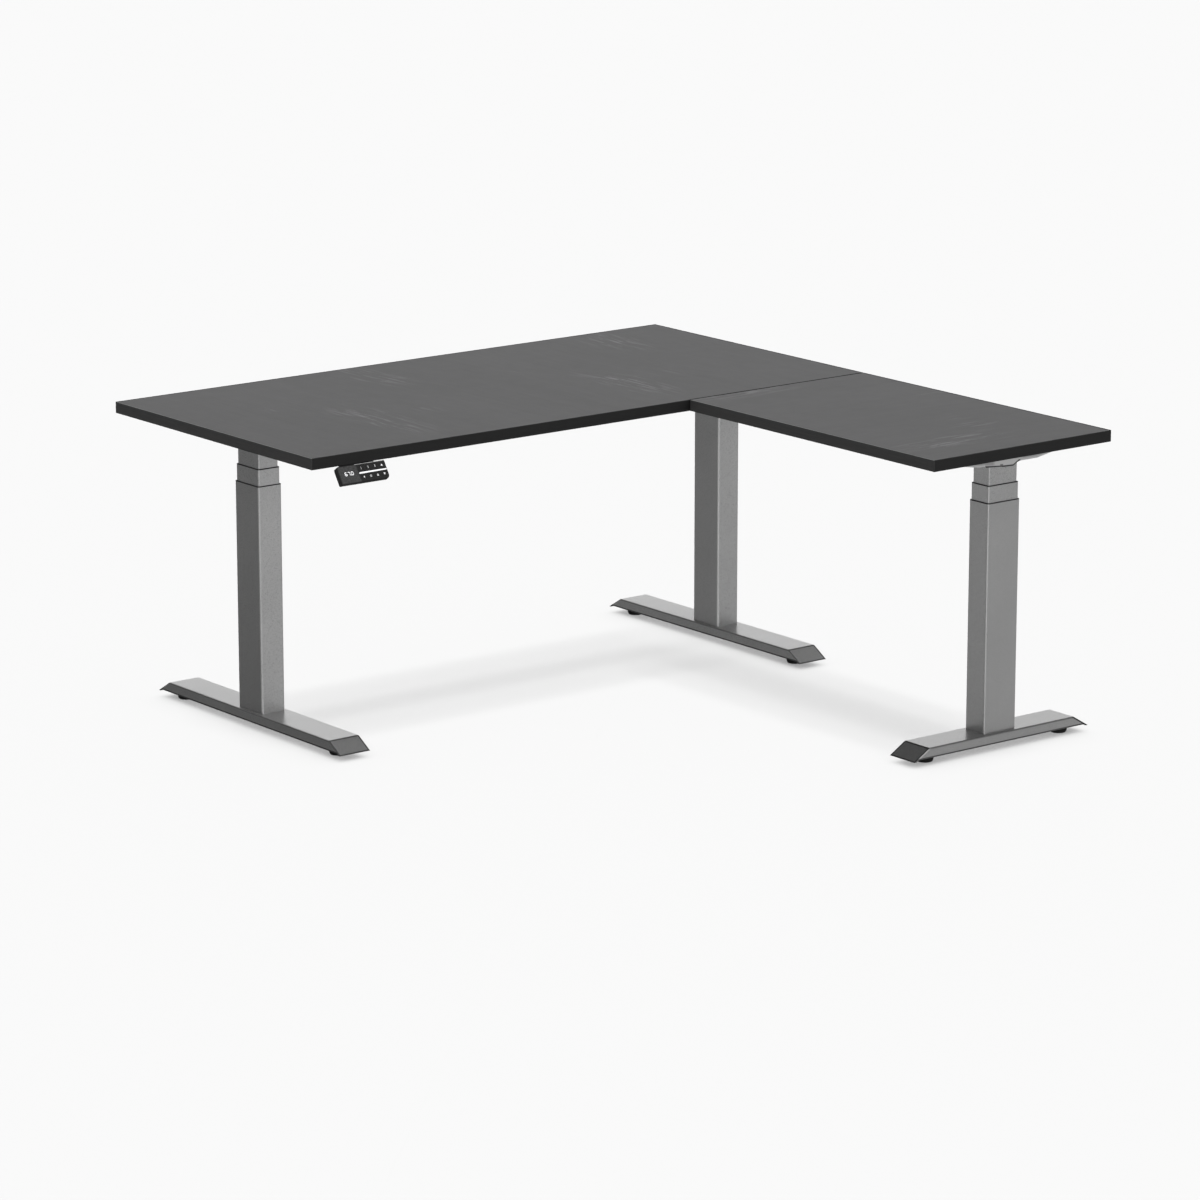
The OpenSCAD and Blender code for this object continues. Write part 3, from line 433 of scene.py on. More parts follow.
M_BOARD = plastic("circuit_board", 60, rough=0.35, grain=300, tint=(0.35, 1.2, 0.6))

# ---------------------------------------------------------------- CAD nodes
def give(mat, *names):
    for n in names:
        o = NODES[n]
        o.data.materials.clear()
        o.data.materials.append(mat)


LEGS = ("left", "corner", "return")
give(M_TOP_Y, "main_desktop")
give(M_TOP_X, "return_desktop")
# each leg's feet and tubes get copies of one coat, each with its own painted light and shade
for leg in LEGS:
    give(powder("powder_coat_" + leg + "_foot", 168, rough=0.30, metal=0.5, shade=foot_painted_light(leg + "_foot")), leg + "_foot")
    give(powder("powder_coat_" + leg + "_outer", 168, rough=0.30, metal=0.5, shade=column_painted_light(*SIDE[leg])), leg + "_outer_tube")
    give(powder("powder_coat_" + leg + "_stages", 173, rough=0.30, metal=0.5, shade=column_painted_light(*SIDE[leg])), leg + "_middle_tube", leg + "_inner_tube")
    give(M_CHANNEL_R if leg == "return" else M_CHANNEL, leg + "_top_bracket")
    give(M_COLLAR, leg + "_middle_collar")
    give(M_ZINC, leg + "_middle_nut_post")
    give(M_SCREW, leg + "_hollow_screw", leg + "_drive_screw")
    give(M_MOTOR, leg + "_gear_motor")
give(M_COLLAR, "outer_collars")
give(M_ZINC, "base_nut_posts", "foot_bolts", "frame_bolts", "desktop_screws")
give(M_UNDER, "main_rail_front", "main_rail_rear", "return_rail_inner", "return_rail_outer")
give(M_BLACK, "control_box_case", "control_box_lid")
give(M_BOARD, "control_board")
LEVS = ["left_rear_leveller", "left_front_leveller", "corner_rear_leveller", "corner_front_leveller", "return_inner_leveller", "return_outer_leveller"]
give(M_RUBBER, *LEVS)
KEYS = ["key_1", "key_2", "key_3", "key_up", "key_4", "key_set", "key_lock", "key_down"]


# ---------------------------------------------------------------- arrises of the folded feet
for n in NODES:
    if n.endswith("_foot"):
        bv = NODES[n].modifiers.new("arris", "BEVEL")
        bv.width = 0.0010
        bv.segments = 2
        bv.limit_method = "ANGLE"
        bv.angle_limit = math.radians(28)
        bv.harden_normals = True
for n in ("foot_bolts", "frame_bolts"):
    bv = NODES[n].modifiers.new("chamfer", "BEVEL")
    bv.width = 0.0005
    bv.segments = 2
    bv.limit_method = "ANGLE"
    bv.angle_limit = math.radians(50)
    bv.harden_normals = True


# ---------------------------------------------------------------- mesh helpers
def piece(name, bm, mat, body, matrix=None, smooth=True, sharp=35.0):
    """Turns a bmesh into a piece that rides on a body. Its vertices are in its own frame, placed by matrix."""
    bmesh.ops.recalc_face_normals(bm, faces=bm.faces)
    me = bpy.data.meshes.new(name)
    bm.to_mesh(me)
    bm.free()
    if smooth:
        for poly in me.polygons:
            poly.use_smooth = True
        me.set_sharp_from_angle(angle=math.radians(sharp))
    o = bpy.data.objects.new(name, me)
    me.materials.append(mat)
    scene.collection.objects.link(o)
    if matrix is not None:
        o.matrix_world = matrix
    bpy.context.view_layer.update()
    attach(o, body)
    return o


def prism(bm, pts, z0, z1, bevel=0.0, rings=3):
    """Adds a closed prism over a convex or concave outline, with its upper arris rounded by bevel."""
    n = len(pts)
    cx = sum(q[0] for q in pts) / n
    cy = sum(q[1] for q in pts) / n

    def inset(d):
        out = []
        for i in range(n):
            a, b, c = pts[i - 1], pts[i], pts[(i + 1) % n]
            e1 = Vector((b[0] - a[0], b[1] - a[1])).normalized()
            e2 = Vector((c[0] - b[0], c[1] - b[1])).normalized()
            n1, n2 = Vector((-e1.y, e1.x)), Vector((-e2.y, e2.x))
            m = (n1 + n2)
            k = d / max(0.35, (1 + n1.dot(n2)))
            out.append((b[0] + m.x * k, b[1] + m.y * k))
        return out

    area = sum(pts[i - 1][0] * pts[i][1] - pts[i][0] * pts[i - 1][1] for i in range(n))
    if area < 0:
        pts = list(reversed(pts))
    levels = [(0.0, z0)]
    if bevel > 0:
        for i in range(rings + 1):
            t = math.pi / 2 * i / rings
            levels.append((bevel * (1 - math.cos(t)), z1 - bevel + bevel * math.sin(t)))
    else:
        levels.append((0.0, z1))
    loops = [[bm.verts.new((x, y, z)) for x, y in inset(d)] for d, z in levels]
    for a, b in zip(loops, loops[1:]):
        for i in range(n):
            j = (i + 1) % n
            bm.faces.new((a[i], a[j], b[j], b[i]))
    bm.faces.new(list(reversed(loops[0])))
    bm.faces.new(loops[-1])


def ring_pts(cx, cy, r, n=32, a0=0.0, a1=2 * math.pi):
    closed = abs(a1 - a0 - 2 * math.pi) < 1e-6
    k = n if closed else n - 1
    return [(cx + r * math.cos(a0 + (a1 - a0) * i / k), cy + r * math.sin(a0 + (a1 - a0) * i / k)) for i in range(n)]


def washer_shape(bm, cx, cy, ro, ri, z0, z1, n=32):
    """A flat ring."""
    vo0 = [bm.verts.new((x, y, z0)) for x, y in ring_pts(cx, cy, ro, n)]
    vo1 = [bm.verts.new((x, y, z1)) for x, y in ring_pts(cx, cy, ro, n)]
    vi0 = [bm.verts.new((x, y, z0)) for x, y in ring_pts(cx, cy, ri, n)]
    vi1 = [bm.verts.new((x, y, z1)) for x, y in ring_pts(cx, cy, ri, n)]
    for i in range(n):
        j = (i + 1) % n
        bm.faces.new((vo0[i], vo0[j], vo1[j], vo1[i]))
        bm.faces.new((vi0[j], vi0[i], vi1[i], vi1[j]))
        bm.faces.new((vo1[i], vo1[j], vi1[j], vi1[i]))
        bm.faces.new((vo0[j], vo0[i], vi0[i], vi0[j]))


# ---------------------------------------------------------------- handset
# local frame: u along the face (+X), v up its slope, w out of the face
desk_lo, desk_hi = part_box("main_desktop")
HS_TILT = math.radians(33.3)
HS = Matrix.Translation((desk_lo[0] + 0.055, desk_lo[1] - 0.001, desk_lo[2] - 0.001)) @ Matrix.Rotation(math.pi / 2 - HS_TILT, 4, "X")
HS_INV = HS.inverted()
mm = 0.001
KEY_U = [64.2 + 17.3 * i for i in range(4)]
KEY_V = [-9.6, -30.0]


def handset_overlay(name, left, right, rough, split=True):
    """Printed overlay film: a smoked display window at the left, darker by the keys, with a fine matt grain."""
    m = Mat(name, rough=rough, spec=0.4)
    x, y, z = m.sep(m.obj)
    fine = m.noise(m.obj, scale=2600, detail=2)
    soft = m.noise(m.obj, scale=70, detail=3)
    # the boundary leans a little with the slope
    lean = m.math("MULTIPLY_ADD", m.math("SUBTRACT", z, HS.translation.z), 0.06, x)
    t = m.remap(lean, HS.translation.x + 0.0515, HS.translation.x + 0.0545, 0.0, 1.0)
    base = m.mix(t, grey(left), grey(right)) if split else m.ramp(soft, [(0.0, grey(right)), (1.0, grey(right + 2))])
    if split:
        # painted shade where the film turns down at the left end and along the lower edge
        down = m.math("DIVIDE", m.math("SUBTRACT", HS.translation.z, z), math.cos(HS_TILT))
        rim = m.math("MAXIMUM", m.remap(x, HS.translation.x + 0.0048, HS.translation.x + 0.0086, 1.0, 0.0), m.remap(down, 0.0378, 0.0402, 0.0, 1.0))
        base = m.mix(rim, base, grey(8))
    grain = m.remap(fine, 0.3, 0.7, 0.82, 1.18)
    cloud = m.remap(m.noise(m.obj, scale=330, detail=1.5), 0.3, 0.7, 0.70, 1.30)
    v = m.math("MULTIPLY", grain, cloud)
    m.color(m.mix(1.0, base, m.ramp(m.math("MULTIPLY", v, 0.5), [(0.0, (0, 0, 0)), (1.0, (2, 2, 2))]), "MULTIPLY"))
    m.rough(m.remap(fine, 0.3, 0.7, rough - 0.05, rough + 0.07))
    m.set_normal(m.bump(fine, 0.06, 0.0001))
    return m.m


def glow(name, c, strength, rough=0.4):
    """Pale translucent print with light behind it: brighter in the middle of the stroke, a little uneven."""
    m = Mat(name, rough=rough, spec=0.3)
    soft = m.noise(m.obj, scale=520, detail=2)
    g = lin(c)
    m.color(m.ramp(soft, [(0.25, (g * 0.92, g * 0.92, g * 0.94)), (0.75, (g, g, g))]))
    m.link(m.ramp(soft, [(0.2, (0.86, 0.87, 0.90)), (0.8, (1.0, 1.0, 1.0))]), m.b.inputs["Emission Color"])
    m.b.inputs["Emission Strength"].default_value = strength
    return m.m


M_CASE = plastic("handset_case_plastic", 9, rough=0.5)
M_FACE = handset_overlay("handset_overlay", 71, 36, 0.42)
M_KEY = handset_overlay("key_overlay", 35, 35, 0.42, split=False)
M_STRIPE = glow("handset_stripe_print", 235, 0.55)
M_DIGIT = glow("display_digits", 235, 0.75)
M_MARK = glow("key_mark_print", 215, 0.30)
M_MARK_2 = glow("key_mark_mid", 220, 0.22)
M_MARK_LIT = glow("key_mark_bright", 235, 0.55)
M_RIM_PAINTED_HIGHLIGHT = plastic("handset_rim_highlight", 200, rough=0.3)
give(M_CASE, "handset_case")
give(M_FACE, "handset_face")
give(M_KEY, *KEYS)


def seven_segment(bm, u0, v0, w, h, t, digit, z0, z1):
    """One digit of seven bars with mitred ends; (u0, v0) is its lower left corner."""
    g = 0.10 * mm
    k = t / 2
    mid = v0 + h / 2
    on = {"0": "abcdef", "6": "acdefg", "7": "abc"}[digit]

    def bar_h(y):
        a, b = u0 + k + g, u0 + w - k - g
        return [(a, y), (a + k, y - k), (b - k, y - k), (b, y), (b - k, y + k), (a + k, y + k)]

    def bar_v(x, ya, yb):
        a, b = ya + g, yb - g
        return [(x, a), (x + k, a + k), (x + k, b - k), (x, b), (x - k, b - k), (x - k, a + k)]

    bars = {
        "a": bar_h(v0 + h - k), "g": bar_h(mid), "d": bar_h(v0 + k),
        "f": bar_v(u0 + k, mid, v0 + h - k), "b": bar_v(u0 + w - k, mid, v0 + h - k),
        "e": bar_v(u0 + k, v0 + k, mid), "c": bar_v(u0 + w - k, v0 + k, mid),
    }
    for s in on:
        prism(bm, bars[s], z0, z1)


bm = bmesh.new()
dt = 1.35 * mm
for ch, u in (("6", 19.8), ("7", 27.2), ("0", 35.6)):
    seven_segment(bm, u * mm, -22.6 * mm, 5.9 * mm, 8.4 * mm, dt, ch, -0.05 * mm, 0.06 * mm)
prism(bm, ring_pts(34.2 * mm, -21.9 * mm, 0.8 * mm, 16), -0.05 * mm, 0.06 * mm)
piece("handset_digits", bm, M_DIGIT, "top", HS, smooth=False)

bm = bmesh.new()
prism(bm, [(54.9 * mm, -21.1 * mm), (55.5 * mm, -22.0 * mm), (57.0 * mm, -22.2 * mm), (124.6 * mm, -21.5 * mm), (124.6 * mm, -18.7 * mm), (58.2 * mm, -18.6 * mm), (56.4 * mm, -19.0 * mm)],
      -0.1 * mm, 0.28 * mm, bevel=0.2 * mm)
piece("handset_stripe", bm, M_STRIPE, "top", HS)


def glyph(bm, text, u, v, size):
    """A plain numeral from Blender's own font, centred at (u, v)."""
    cu = bpy.data.curves.new("glyph", "FONT")
    cu.body = text
    cu.size = size
    cu.align_x = "CENTER"
    cu.align_y = "CENTER"
    cu.extrude = 0.04 * mm
    cu.resolution_u = 6
    o = bpy.data.objects.new("glyph", cu)
    scene.collection.objects.link(o)
    dg = bpy.context.evaluated_depsgraph_get()
    me = bpy.data.meshes.new_from_object(o.evaluated_get(dg))
    lo = Vector((min(q.co[i] for q in me.vertices) for i in range(3)))
    hi = Vector((max(q.co[i] for q in me.vertices) for i in range(3)))
    me.transform(Matrix.Translation((u - (lo.x + hi.x) / 2, v - (lo.y + hi.y) / 2, 0.11 * mm)))
    bm.from_mesh(me)
    bpy.data.objects.remove(o)
    bpy.data.curves.remove(cu)
    bpy.data.meshes.remove(me)
    bmesh.ops.remove_doubles(bm, verts=bm.verts, dist=1e-7)


def key_mark(key, draw, mat):
    i = KEYS.index(key)
    b = bmesh.new()
    draw(b, KEY_U[i % 4] * mm, KEY_V[i // 4] * mm)
    piece(key + "_mark", b, mat, key + "_body", HS, smooth=False)


W0, W1 = 0.07 * mm, 0.15 * mm
for k, ch in (("key_1", "1"), ("key_2", "2"), ("key_3", "3"), ("key_4", "4")):
    key_mark(k, lambda b, u, v, ch=ch: glyph(b, ch, u, v, 7.2 * mm), M_MARK if k != "key_4" else M_MARK_LIT)


def arrow(b, u, v, s):
    a, h = 2.5 * mm, 2.2 * mm
    prism(b, [(u - a, v - s * h), (u + a, v - s * h), (u, v + s * h)], W0, W1)


def set_mark(b, u, v):
    washer_shape(b, u, v, 2.5 * mm, 1.75 * mm, W0, W1)
    prism(b, ring_pts(u, v, 0.95 * mm, 20), W0, W1)


def lock_mark(b, u, v):
    prism(b, [(u - 2.1 * mm, v - 2.4 * mm), (u + 2.1 * mm, v - 2.4 * mm), (u + 2.1 * mm, v + 0.5 * mm), (u - 2.1 * mm, v + 0.5 * mm)], W0, W1)
    out = ring_pts(u, v + 0.9 * mm, 1.6 * mm, 14, 0, math.pi)
    inn = ring_pts(u, v + 0.9 * mm, 1.0 * mm, 14, 0, math.pi)
    prism(b, [(u + 1.6 * mm, v + 0.55 * mm)] + out + [(u - 1.6 * mm, v + 0.55 * mm), (u - 1.0 * mm, v + 0.55 * mm)] + list(reversed(inn)) + [(u + 1.0 * mm, v + 0.55 * mm)], W0, W1)


key_mark("key_up", lambda b, u, v: arrow(b, u, v, 1), M_MARK_LIT)
key_mark("key_down", lambda b, u, v: arrow(b, u, v, -1), M_MARK_LIT)
key_mark("key_set", set_mark, M_MARK_2)
key_mark("key_lock", lock_mark, M_MARK_2)

# a light strip along the case's upper edge: a painted highlight
bm = bmesh.new()
n_seg, n_arc = 40, 10
rows = []
for i in range(n_seg + 1):
    u = (50.0 + (126 - 50.0 - 3.5) * i / n_seg) * mm
    taper = min(1.0, i / 3, (n_seg - i) / 2) * 0.5 * mm
    rows.append([bm.verts.new((u, -0.62 * mm + 0.55 * mm * math.cos(math.pi * k / n_arc), -0.02 * mm + taper * math.sin(math.pi * k / n_arc))) for k in range(n_arc + 1)])
for a, b in zip(rows, rows[1:]):
    for k in range(n_arc):
        bm.faces.new((a[k], b[k], b[k + 1], a[k + 1]))
    bm.faces.new((a[0], a[-1], b[-1], b[0]))
bmesh.ops.remove_doubles(bm, verts=bm.verts, dist=1e-7)
piece("handset_painted_highlight_strip", bm, M_RIM_PAINTED_HIGHLIGHT, "top", HS)

# ---------------------------------------------------------------- levelling glides
def lathe(bm, prof, cx, cy, n=48, ribs=0, rib=0.0, rib_z=(0, 0)):
    """Turns a profile of (r, z) round a vertical axis; ribs cut a knurl between two heights."""
    rings = []
    for r_, z_ in prof:
        if r_ < 1e-6:
            rings.append([bm.verts.new((cx, cy, z_))])
            continue
        ring = []
        for i in range(n):
            a = 2 * math.pi * i / n
            rr_ = r_
            if ribs and rib_z[0] <= z_ <= rib_z[1]:
                rr_ -= rib * (0.5 - 0.5 * math.cos(a * ribs))
            ring.append(bm.verts.new((cx + rr_ * math.cos(a), cy + rr_ * math.sin(a), z_)))
        rings.append(ring)
    for a, b in zip(rings, rings[1:]):
        for i in range(n):
            j = (i + 1) % n
            if len(a) == 1:
                bm.faces.new((a[0], b[j], b[i]))
            elif len(b) == 1:
                bm.faces.new((a[i], a[j], b[0]))
            else:
                bm.faces.new((a[i], a[j], b[j], b[i]))


def threaded(bm, cx, cy, r_out, r_in, z0, z1, pitch, n=24, rows_per=4):
    """A real helical thread: each ring's radius follows the helix round."""
    total = int(round((z1 - z0) / pitch * rows_per))
    rings = []
    for k in range(total + 1):
        z = z0 + (z1 - z0) * k / total
        ring = []
        for i in range(n):
            ph = (z / pitch - i / n) % 1.0
            tri = 1 - abs(2 * ph - 1)
            r_ = r_in + (r_out - r_in) * min(1.0, max(0.0, tri * 1.25 - 0.1))
            if k == total:
                r_ = r_in
            a = 2 * math.pi * i / n
            ring.append(bm.verts.new((cx + r_ * math.cos(a), cy + r_ * math.sin(a), z)))
        rings.append(ring)
    for a, b in zip(rings, rings[1:]):
        for i in range(n):
            j = (i + 1) % n
            bm.faces.new((a[i], a[j], b[j], b[i]))
    bm.faces.new(list(reversed(rings[0])))
    bm.faces.new(rings[-1])


for lev in LEVS:
    lo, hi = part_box(lev)
    cx, cy, z0 = (lo[0] + hi[0]) / 2, (lo[1] + hi[1]) / 2, lo[2]
    R = (hi[0] - lo[0]) / 2
    place = Matrix.Translation((cx, cy, z0))
    bm = bmesh.new()
    prof = [(0, 0.6 * mm), (R - 9 * mm, 0.6 * mm), (R - 8 * mm, 0.0), (R - 4.6 * mm, 0.0), (R - 3.2 * mm, 0.35 * mm), (R - 2.0 * mm, 1.5 * mm), (R - 0.9 * mm, 4.2 * mm), (R - 0.3 * mm, 7.2 * mm),
            (R, 8.6 * mm), (R, 9.4 * mm), (R, 11.4 * mm), (R, 12.2 * mm), (R - 0.35 * mm, 12.9 * mm), (R - 1.1 * mm, 13.3 * mm), (R - 5 * mm, 13.7 * mm), (9.4 * mm, 14.1 * mm), (0, 14.1 * mm)]
    lathe(bm, prof, 0, 0, n=144, ribs=36, rib=0.45 * mm, rib_z=(8.5 * mm, 12.3 * mm))
    o = piece(lev + "_pad", bm, M_RUBBER, lev + "_body", place, sharp=40)
    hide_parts(lev)
    bm = bmesh.new()
    hexa = [(8.0 * mm * math.cos(math.pi / 3 * k), 8.0 * mm * math.sin(math.pi / 3 * k)) for k in range(6)]
    prism(bm, hexa, 13.9 * mm, 18.4 * mm, bevel=0.6 * mm)
    threaded(bm, 0, 0, 4.0 * mm, 3.45 * mm, 18.3 * mm, 36.0 * mm, 1.25 * mm)
    piece(lev + "_stud", bm, M_ZINC, lev + "_body", place, sharp=40)


# ---------------------------------------------------------------- wood screws with cross recesses
def islands(me):
    """Vertex sets of a mesh's separate solids."""
    parent = list(range(len(me.vertices)))

    def find(a):
        while parent[a] != a:
            parent[a] = parent[parent[a]]
            a = parent[a]
        return a

    for e in me.edges:
        a, b = find(e.vertices[0]), find(e.vertices[1])
        if a != b:
            parent[b] = a
    weld = {}
    for v in me.vertices:
        key = tuple(round(c, 6) for c in v.co)
        if key in weld:
            a, b = find(weld[key]), find(v.index)
            if a != b:
                parent[b] = a
        else:
            weld[key] = v.index
    out = {}
    for v in me.vertices:
        out.setdefault(find(v.index), []).append(v.co.copy())
    return list(out.values())


def pan_head(bm, cx, cy, z, r, h):
    """Domed head that hangs below a seat at z + h, with a cross recess in its lower face."""
    n = 32
    prof = [(r * 0.72, 0.10 * h), (r * 0.90, 0.30 * h), (r * 0.985, 0.55 * h), (r, 0.80 * h), (r * 0.985, h)]
    flat = [bm.verts.new((cx + r * 0.50 * math.cos(2 * math.pi * i / n), cy + r * 0.50 * math.sin(2 * math.pi * i / n), z)) for i in range(n)]
    rings = [flat]
    for pr, pz in prof:
        rings.append([bm.verts.new((cx + pr * math.cos(2 * math.pi * i / n), cy + pr * math.sin(2 * math.pi * i / n), z + pz)) for i in range(n)])
    for a, b in zip(rings, rings[1:]):
        for i in range(n):
            j = (i + 1) % n
            bm.faces.new((a[j], a[i], b[i], b[j]))
    bm.faces.new(rings[-1])
    w, l = 0.16 * r, 0.44 * r
    plus = [(w, w), (w, l), (-w, l), (-w, w), (-l, w), (-l, -w), (-w, -w), (-w, -l), (w, -l), (w, -w), (l, -w), (l, w)]
    rim = [bm.verts.new((cx + x, cy + y, z)) for x, y in plus]
    pit = [bm.verts.new((cx + x * 0.62, cy + y * 0.62, z + 0.55 * h)) for x, y in plus]
    for i in range(12):
        j = (i + 1) % 12
        bm.faces.new((rim[i], rim[j], pit[j], pit[i]))
    bm.faces.new(pit)
    edges = [bm.edges.get((flat[i], flat[(i + 1) % n])) for i in range(n)]
    edges += [bm.edges.get((rim[i], rim[(i + 1) % 12])) for i in range(12)]
    bmesh.ops.triangle_fill(bm, use_beauty=True, edges=[e for e in edges if e])


bm = bmesh.new()
for vs in islands(NODES["desktop_screws"].data):
    xs, ys, zs = [v.x for v in vs], [v.y for v in vs], [v.z for v in vs]
    cx, cy, z0, z1 = (min(xs) + max(xs)) / 2, (min(ys) + max(ys)) / 2, min(zs), max(zs)
    r_head = (max(xs) - min(xs)) / 2
    pan_head(bm, cx, cy, z0, r_head, 2.6 * mm)
    threaded(bm, cx, cy, 2.25 * mm, 1.6 * mm, z0 + 2.5 * mm, z1, 1.8 * mm, n=16, rows_per=3)
o = piece("desktop_screw_set", bm, M_ZINC, "top", None, sharp=38)
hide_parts("desktop_screws")

# ---------------------------------------------------------------- control box: contact pins and lid screws
box_lo, box_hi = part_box("control_box_case")
front_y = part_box("control_box_lid")[0][1]
bm = bmesh.new()
sock_z = desk_lo[2] - 0.019
for sx, count, gap in ((-0.044, 4, 0.0030), (-0.014, 4, 0.0030), (0.016, 4, 0.0030), (0.060, 4, 0.0024)):
    for k in range(count):
        for row in ((-1, 1) if count == 4 and gap > 0.0025 else (0,)):
            x = sx + (k - (count - 1) / 2) * gap
            z = sock_z + row * 0.0021
            q = 0.0004
            pts = [(x - q, z - q), (x + q, z - q), (x + q, z + q), (x - q, z + q)]
            lo_ring = [bm.verts.new((a, front_y + 0.0139, b)) for a, b in pts]
            mid_ring = [bm.verts.new((a, front_y + 0.0055, b)) for a, b in pts]
            tip = [bm.verts.new((x + (a - x) * 0.4, front_y + 0.0045, z + (b - z) * 0.4)) for a, b in pts]
            for ra, rb in ((lo_ring, mid_ring), (mid_ring, tip)):
                for i in range(4):
                    j = (i + 1) % 4
                    bm.faces.new((ra[i], ra[j], rb[j], rb[i]))
            bm.faces.new(tip)
            bm.faces.new(list(reversed(lo_ring)))
for x, z in ((-0.107, 0.0), (-0.093, 0.0), (-0.100, 0.004)):
    # mains inlet: three flat blades
    b = [(x - 0.001, sock_z + z - 0.002), (x + 0.001, sock_z + z - 0.002), (x + 0.001, sock_z + z + 0.002), (x - 0.001, sock_z + z + 0.002)]
    ra = [bm.verts.new((p_, front_y + 0.0139, q_)) for p_, q_ in b]
    rb = [bm.verts.new((p_, front_y + 0.0035, q_)) for p_, q_ in b]
    rc = [bm.verts.new((x + (p_ - x) * 0.5, front_y + 0.0025, q_)) for p_, q_ in b]
    for a_, b_ in ((ra, rb), (rb, rc)):
        for i in range(4):
            j = (i + 1) % 4
            bm.faces.new((a_[i], a_[j], b_[j], b_[i]))
    bm.faces.new(rc)
    bm.faces.new(list(reversed(ra)))
piece("control_box_pins", bm, M_ZINC, "top", None, smooth=False)

lid_lo, lid_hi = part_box("control_box_lid")
bm = bmesh.new()
for sx in (-1, 1):
    for sy in (-1, 1):
        cx = (lid_lo[0] + lid_hi[0]) / 2 + sx * ((lid_hi[0] - lid_lo[0]) / 2 - 6 * mm)
        cy = (lid_lo[1] + lid_hi[1]) / 2 + sy * ((lid_hi[1] - lid_lo[1]) / 2 - 6 * mm)
        pan_head(bm, cx, cy, lid_lo[2] - 1.2 * mm, 2.6 * mm, 1.25 * mm)
piece("control_box_lid_screws", bm, M_ZINC, "top", None, sharp=38)


# ---------------------------------------------------------------- floor, light, camera
def floor():
    """White paper, lit by lights of its own; what the pieces get back from it is dimmer."""
    me = bpy.data.meshes.new("floor")
    s = 60.0
    me.from_pydata([(-s, -s, 0), (s, -s, 0), (s, s, 0), (-s, s, 0)], [], [(0, 1, 2, 3)])
    o = bpy.data.objects.new("floor", me)
    scene.collection.objects.link(o)
    mat = bpy.data.materials.new("floor_paper")
    mat.use_nodes = True
    t = mat.node_tree
    t.nodes.clear()

    def lit(emit, diff, contact=None):
        add = t.nodes.new("ShaderNodeAddShader")
        em = t.nodes.new("ShaderNodeEmission")
        em.inputs["Strength"].default_value = emit
        df = t.nodes.new("ShaderNodeBsdfDiffuse")
        df.inputs["Color"].default_value = (diff, diff, diff, 1)
        if contact is not None:
            t.links.new(contact, em.inputs["Color"])
            tint = t.nodes.new("ShaderNodeMix")
            tint.data_type = "RGBA"
            tint.blend_type = "MULTIPLY"
            tint.inputs[0].default_value = 1.0
            tint.inputs[6].default_value = (diff, diff, diff, 1)
            t.links.new(contact, tint.inputs[7])
            t.links.new(tint.outputs[2], df.inputs["Color"])
        t.links.new(em.outputs[0], add.inputs[0])
        t.links.new(df.outputs[0], add.inputs[1])
        return add.outputs[0]

    # soft contact shade where something stands close over the paper
    ao = t.nodes.new("ShaderNodeAmbientOcclusion")
    ao.samples = 8
    ao.inputs["Distance"].default_value = CONTACT
    shade = t.nodes.new("ShaderNodeValToRGB")
    el = shade.color_ramp.elements
    for i, (q, g) in enumerate(CONTACT_SHADE):
        e = el[i] if i < 2 else el.new(q)
        e.position = q
        e.color = (g, g, g, 1)
    t.links.new(ao.outputs["AO"], shade.inputs[0])

    out = t.nodes.new("ShaderNodeOutputMaterial")
    mx = t.nodes.new("ShaderNodeMixShader")
    t.links.new(t.nodes.new("ShaderNodeLightPath").outputs["Is Camera Ray"], mx.inputs[0])
    t.links.new(lit(BOUNCE_EMIT, BOUNCE_DIFF), mx.inputs[1])
    t.links.new(lit(FLOOR_EMIT, FLOOR_DIFF, shade.outputs[0]), mx.inputs[2])
    t.links.new(mx.outputs[0], out.inputs["Surface"])
    me.materials.append(mat)
    # the pieces mirror the room below the horizon instead of the paper
    o.visible_glossy = False
    return o


CONTACT = 0.085
CONTACT_SHADE = [(0.0, 0.33), (0.10, 0.345), (0.14, 0.37), (0.18, 0.47), (0.29, 0.68), (0.515, 0.84), (0.73, 0.94), (0.86, 0.975), (1.0, 1.0)]
FLOOR_EMIT = 0.40
FLOOR_DIFF = 0.10
BOUNCE_EMIT = 0.30
BOUNCE_DIFF = 0.02
the_floor = floor()


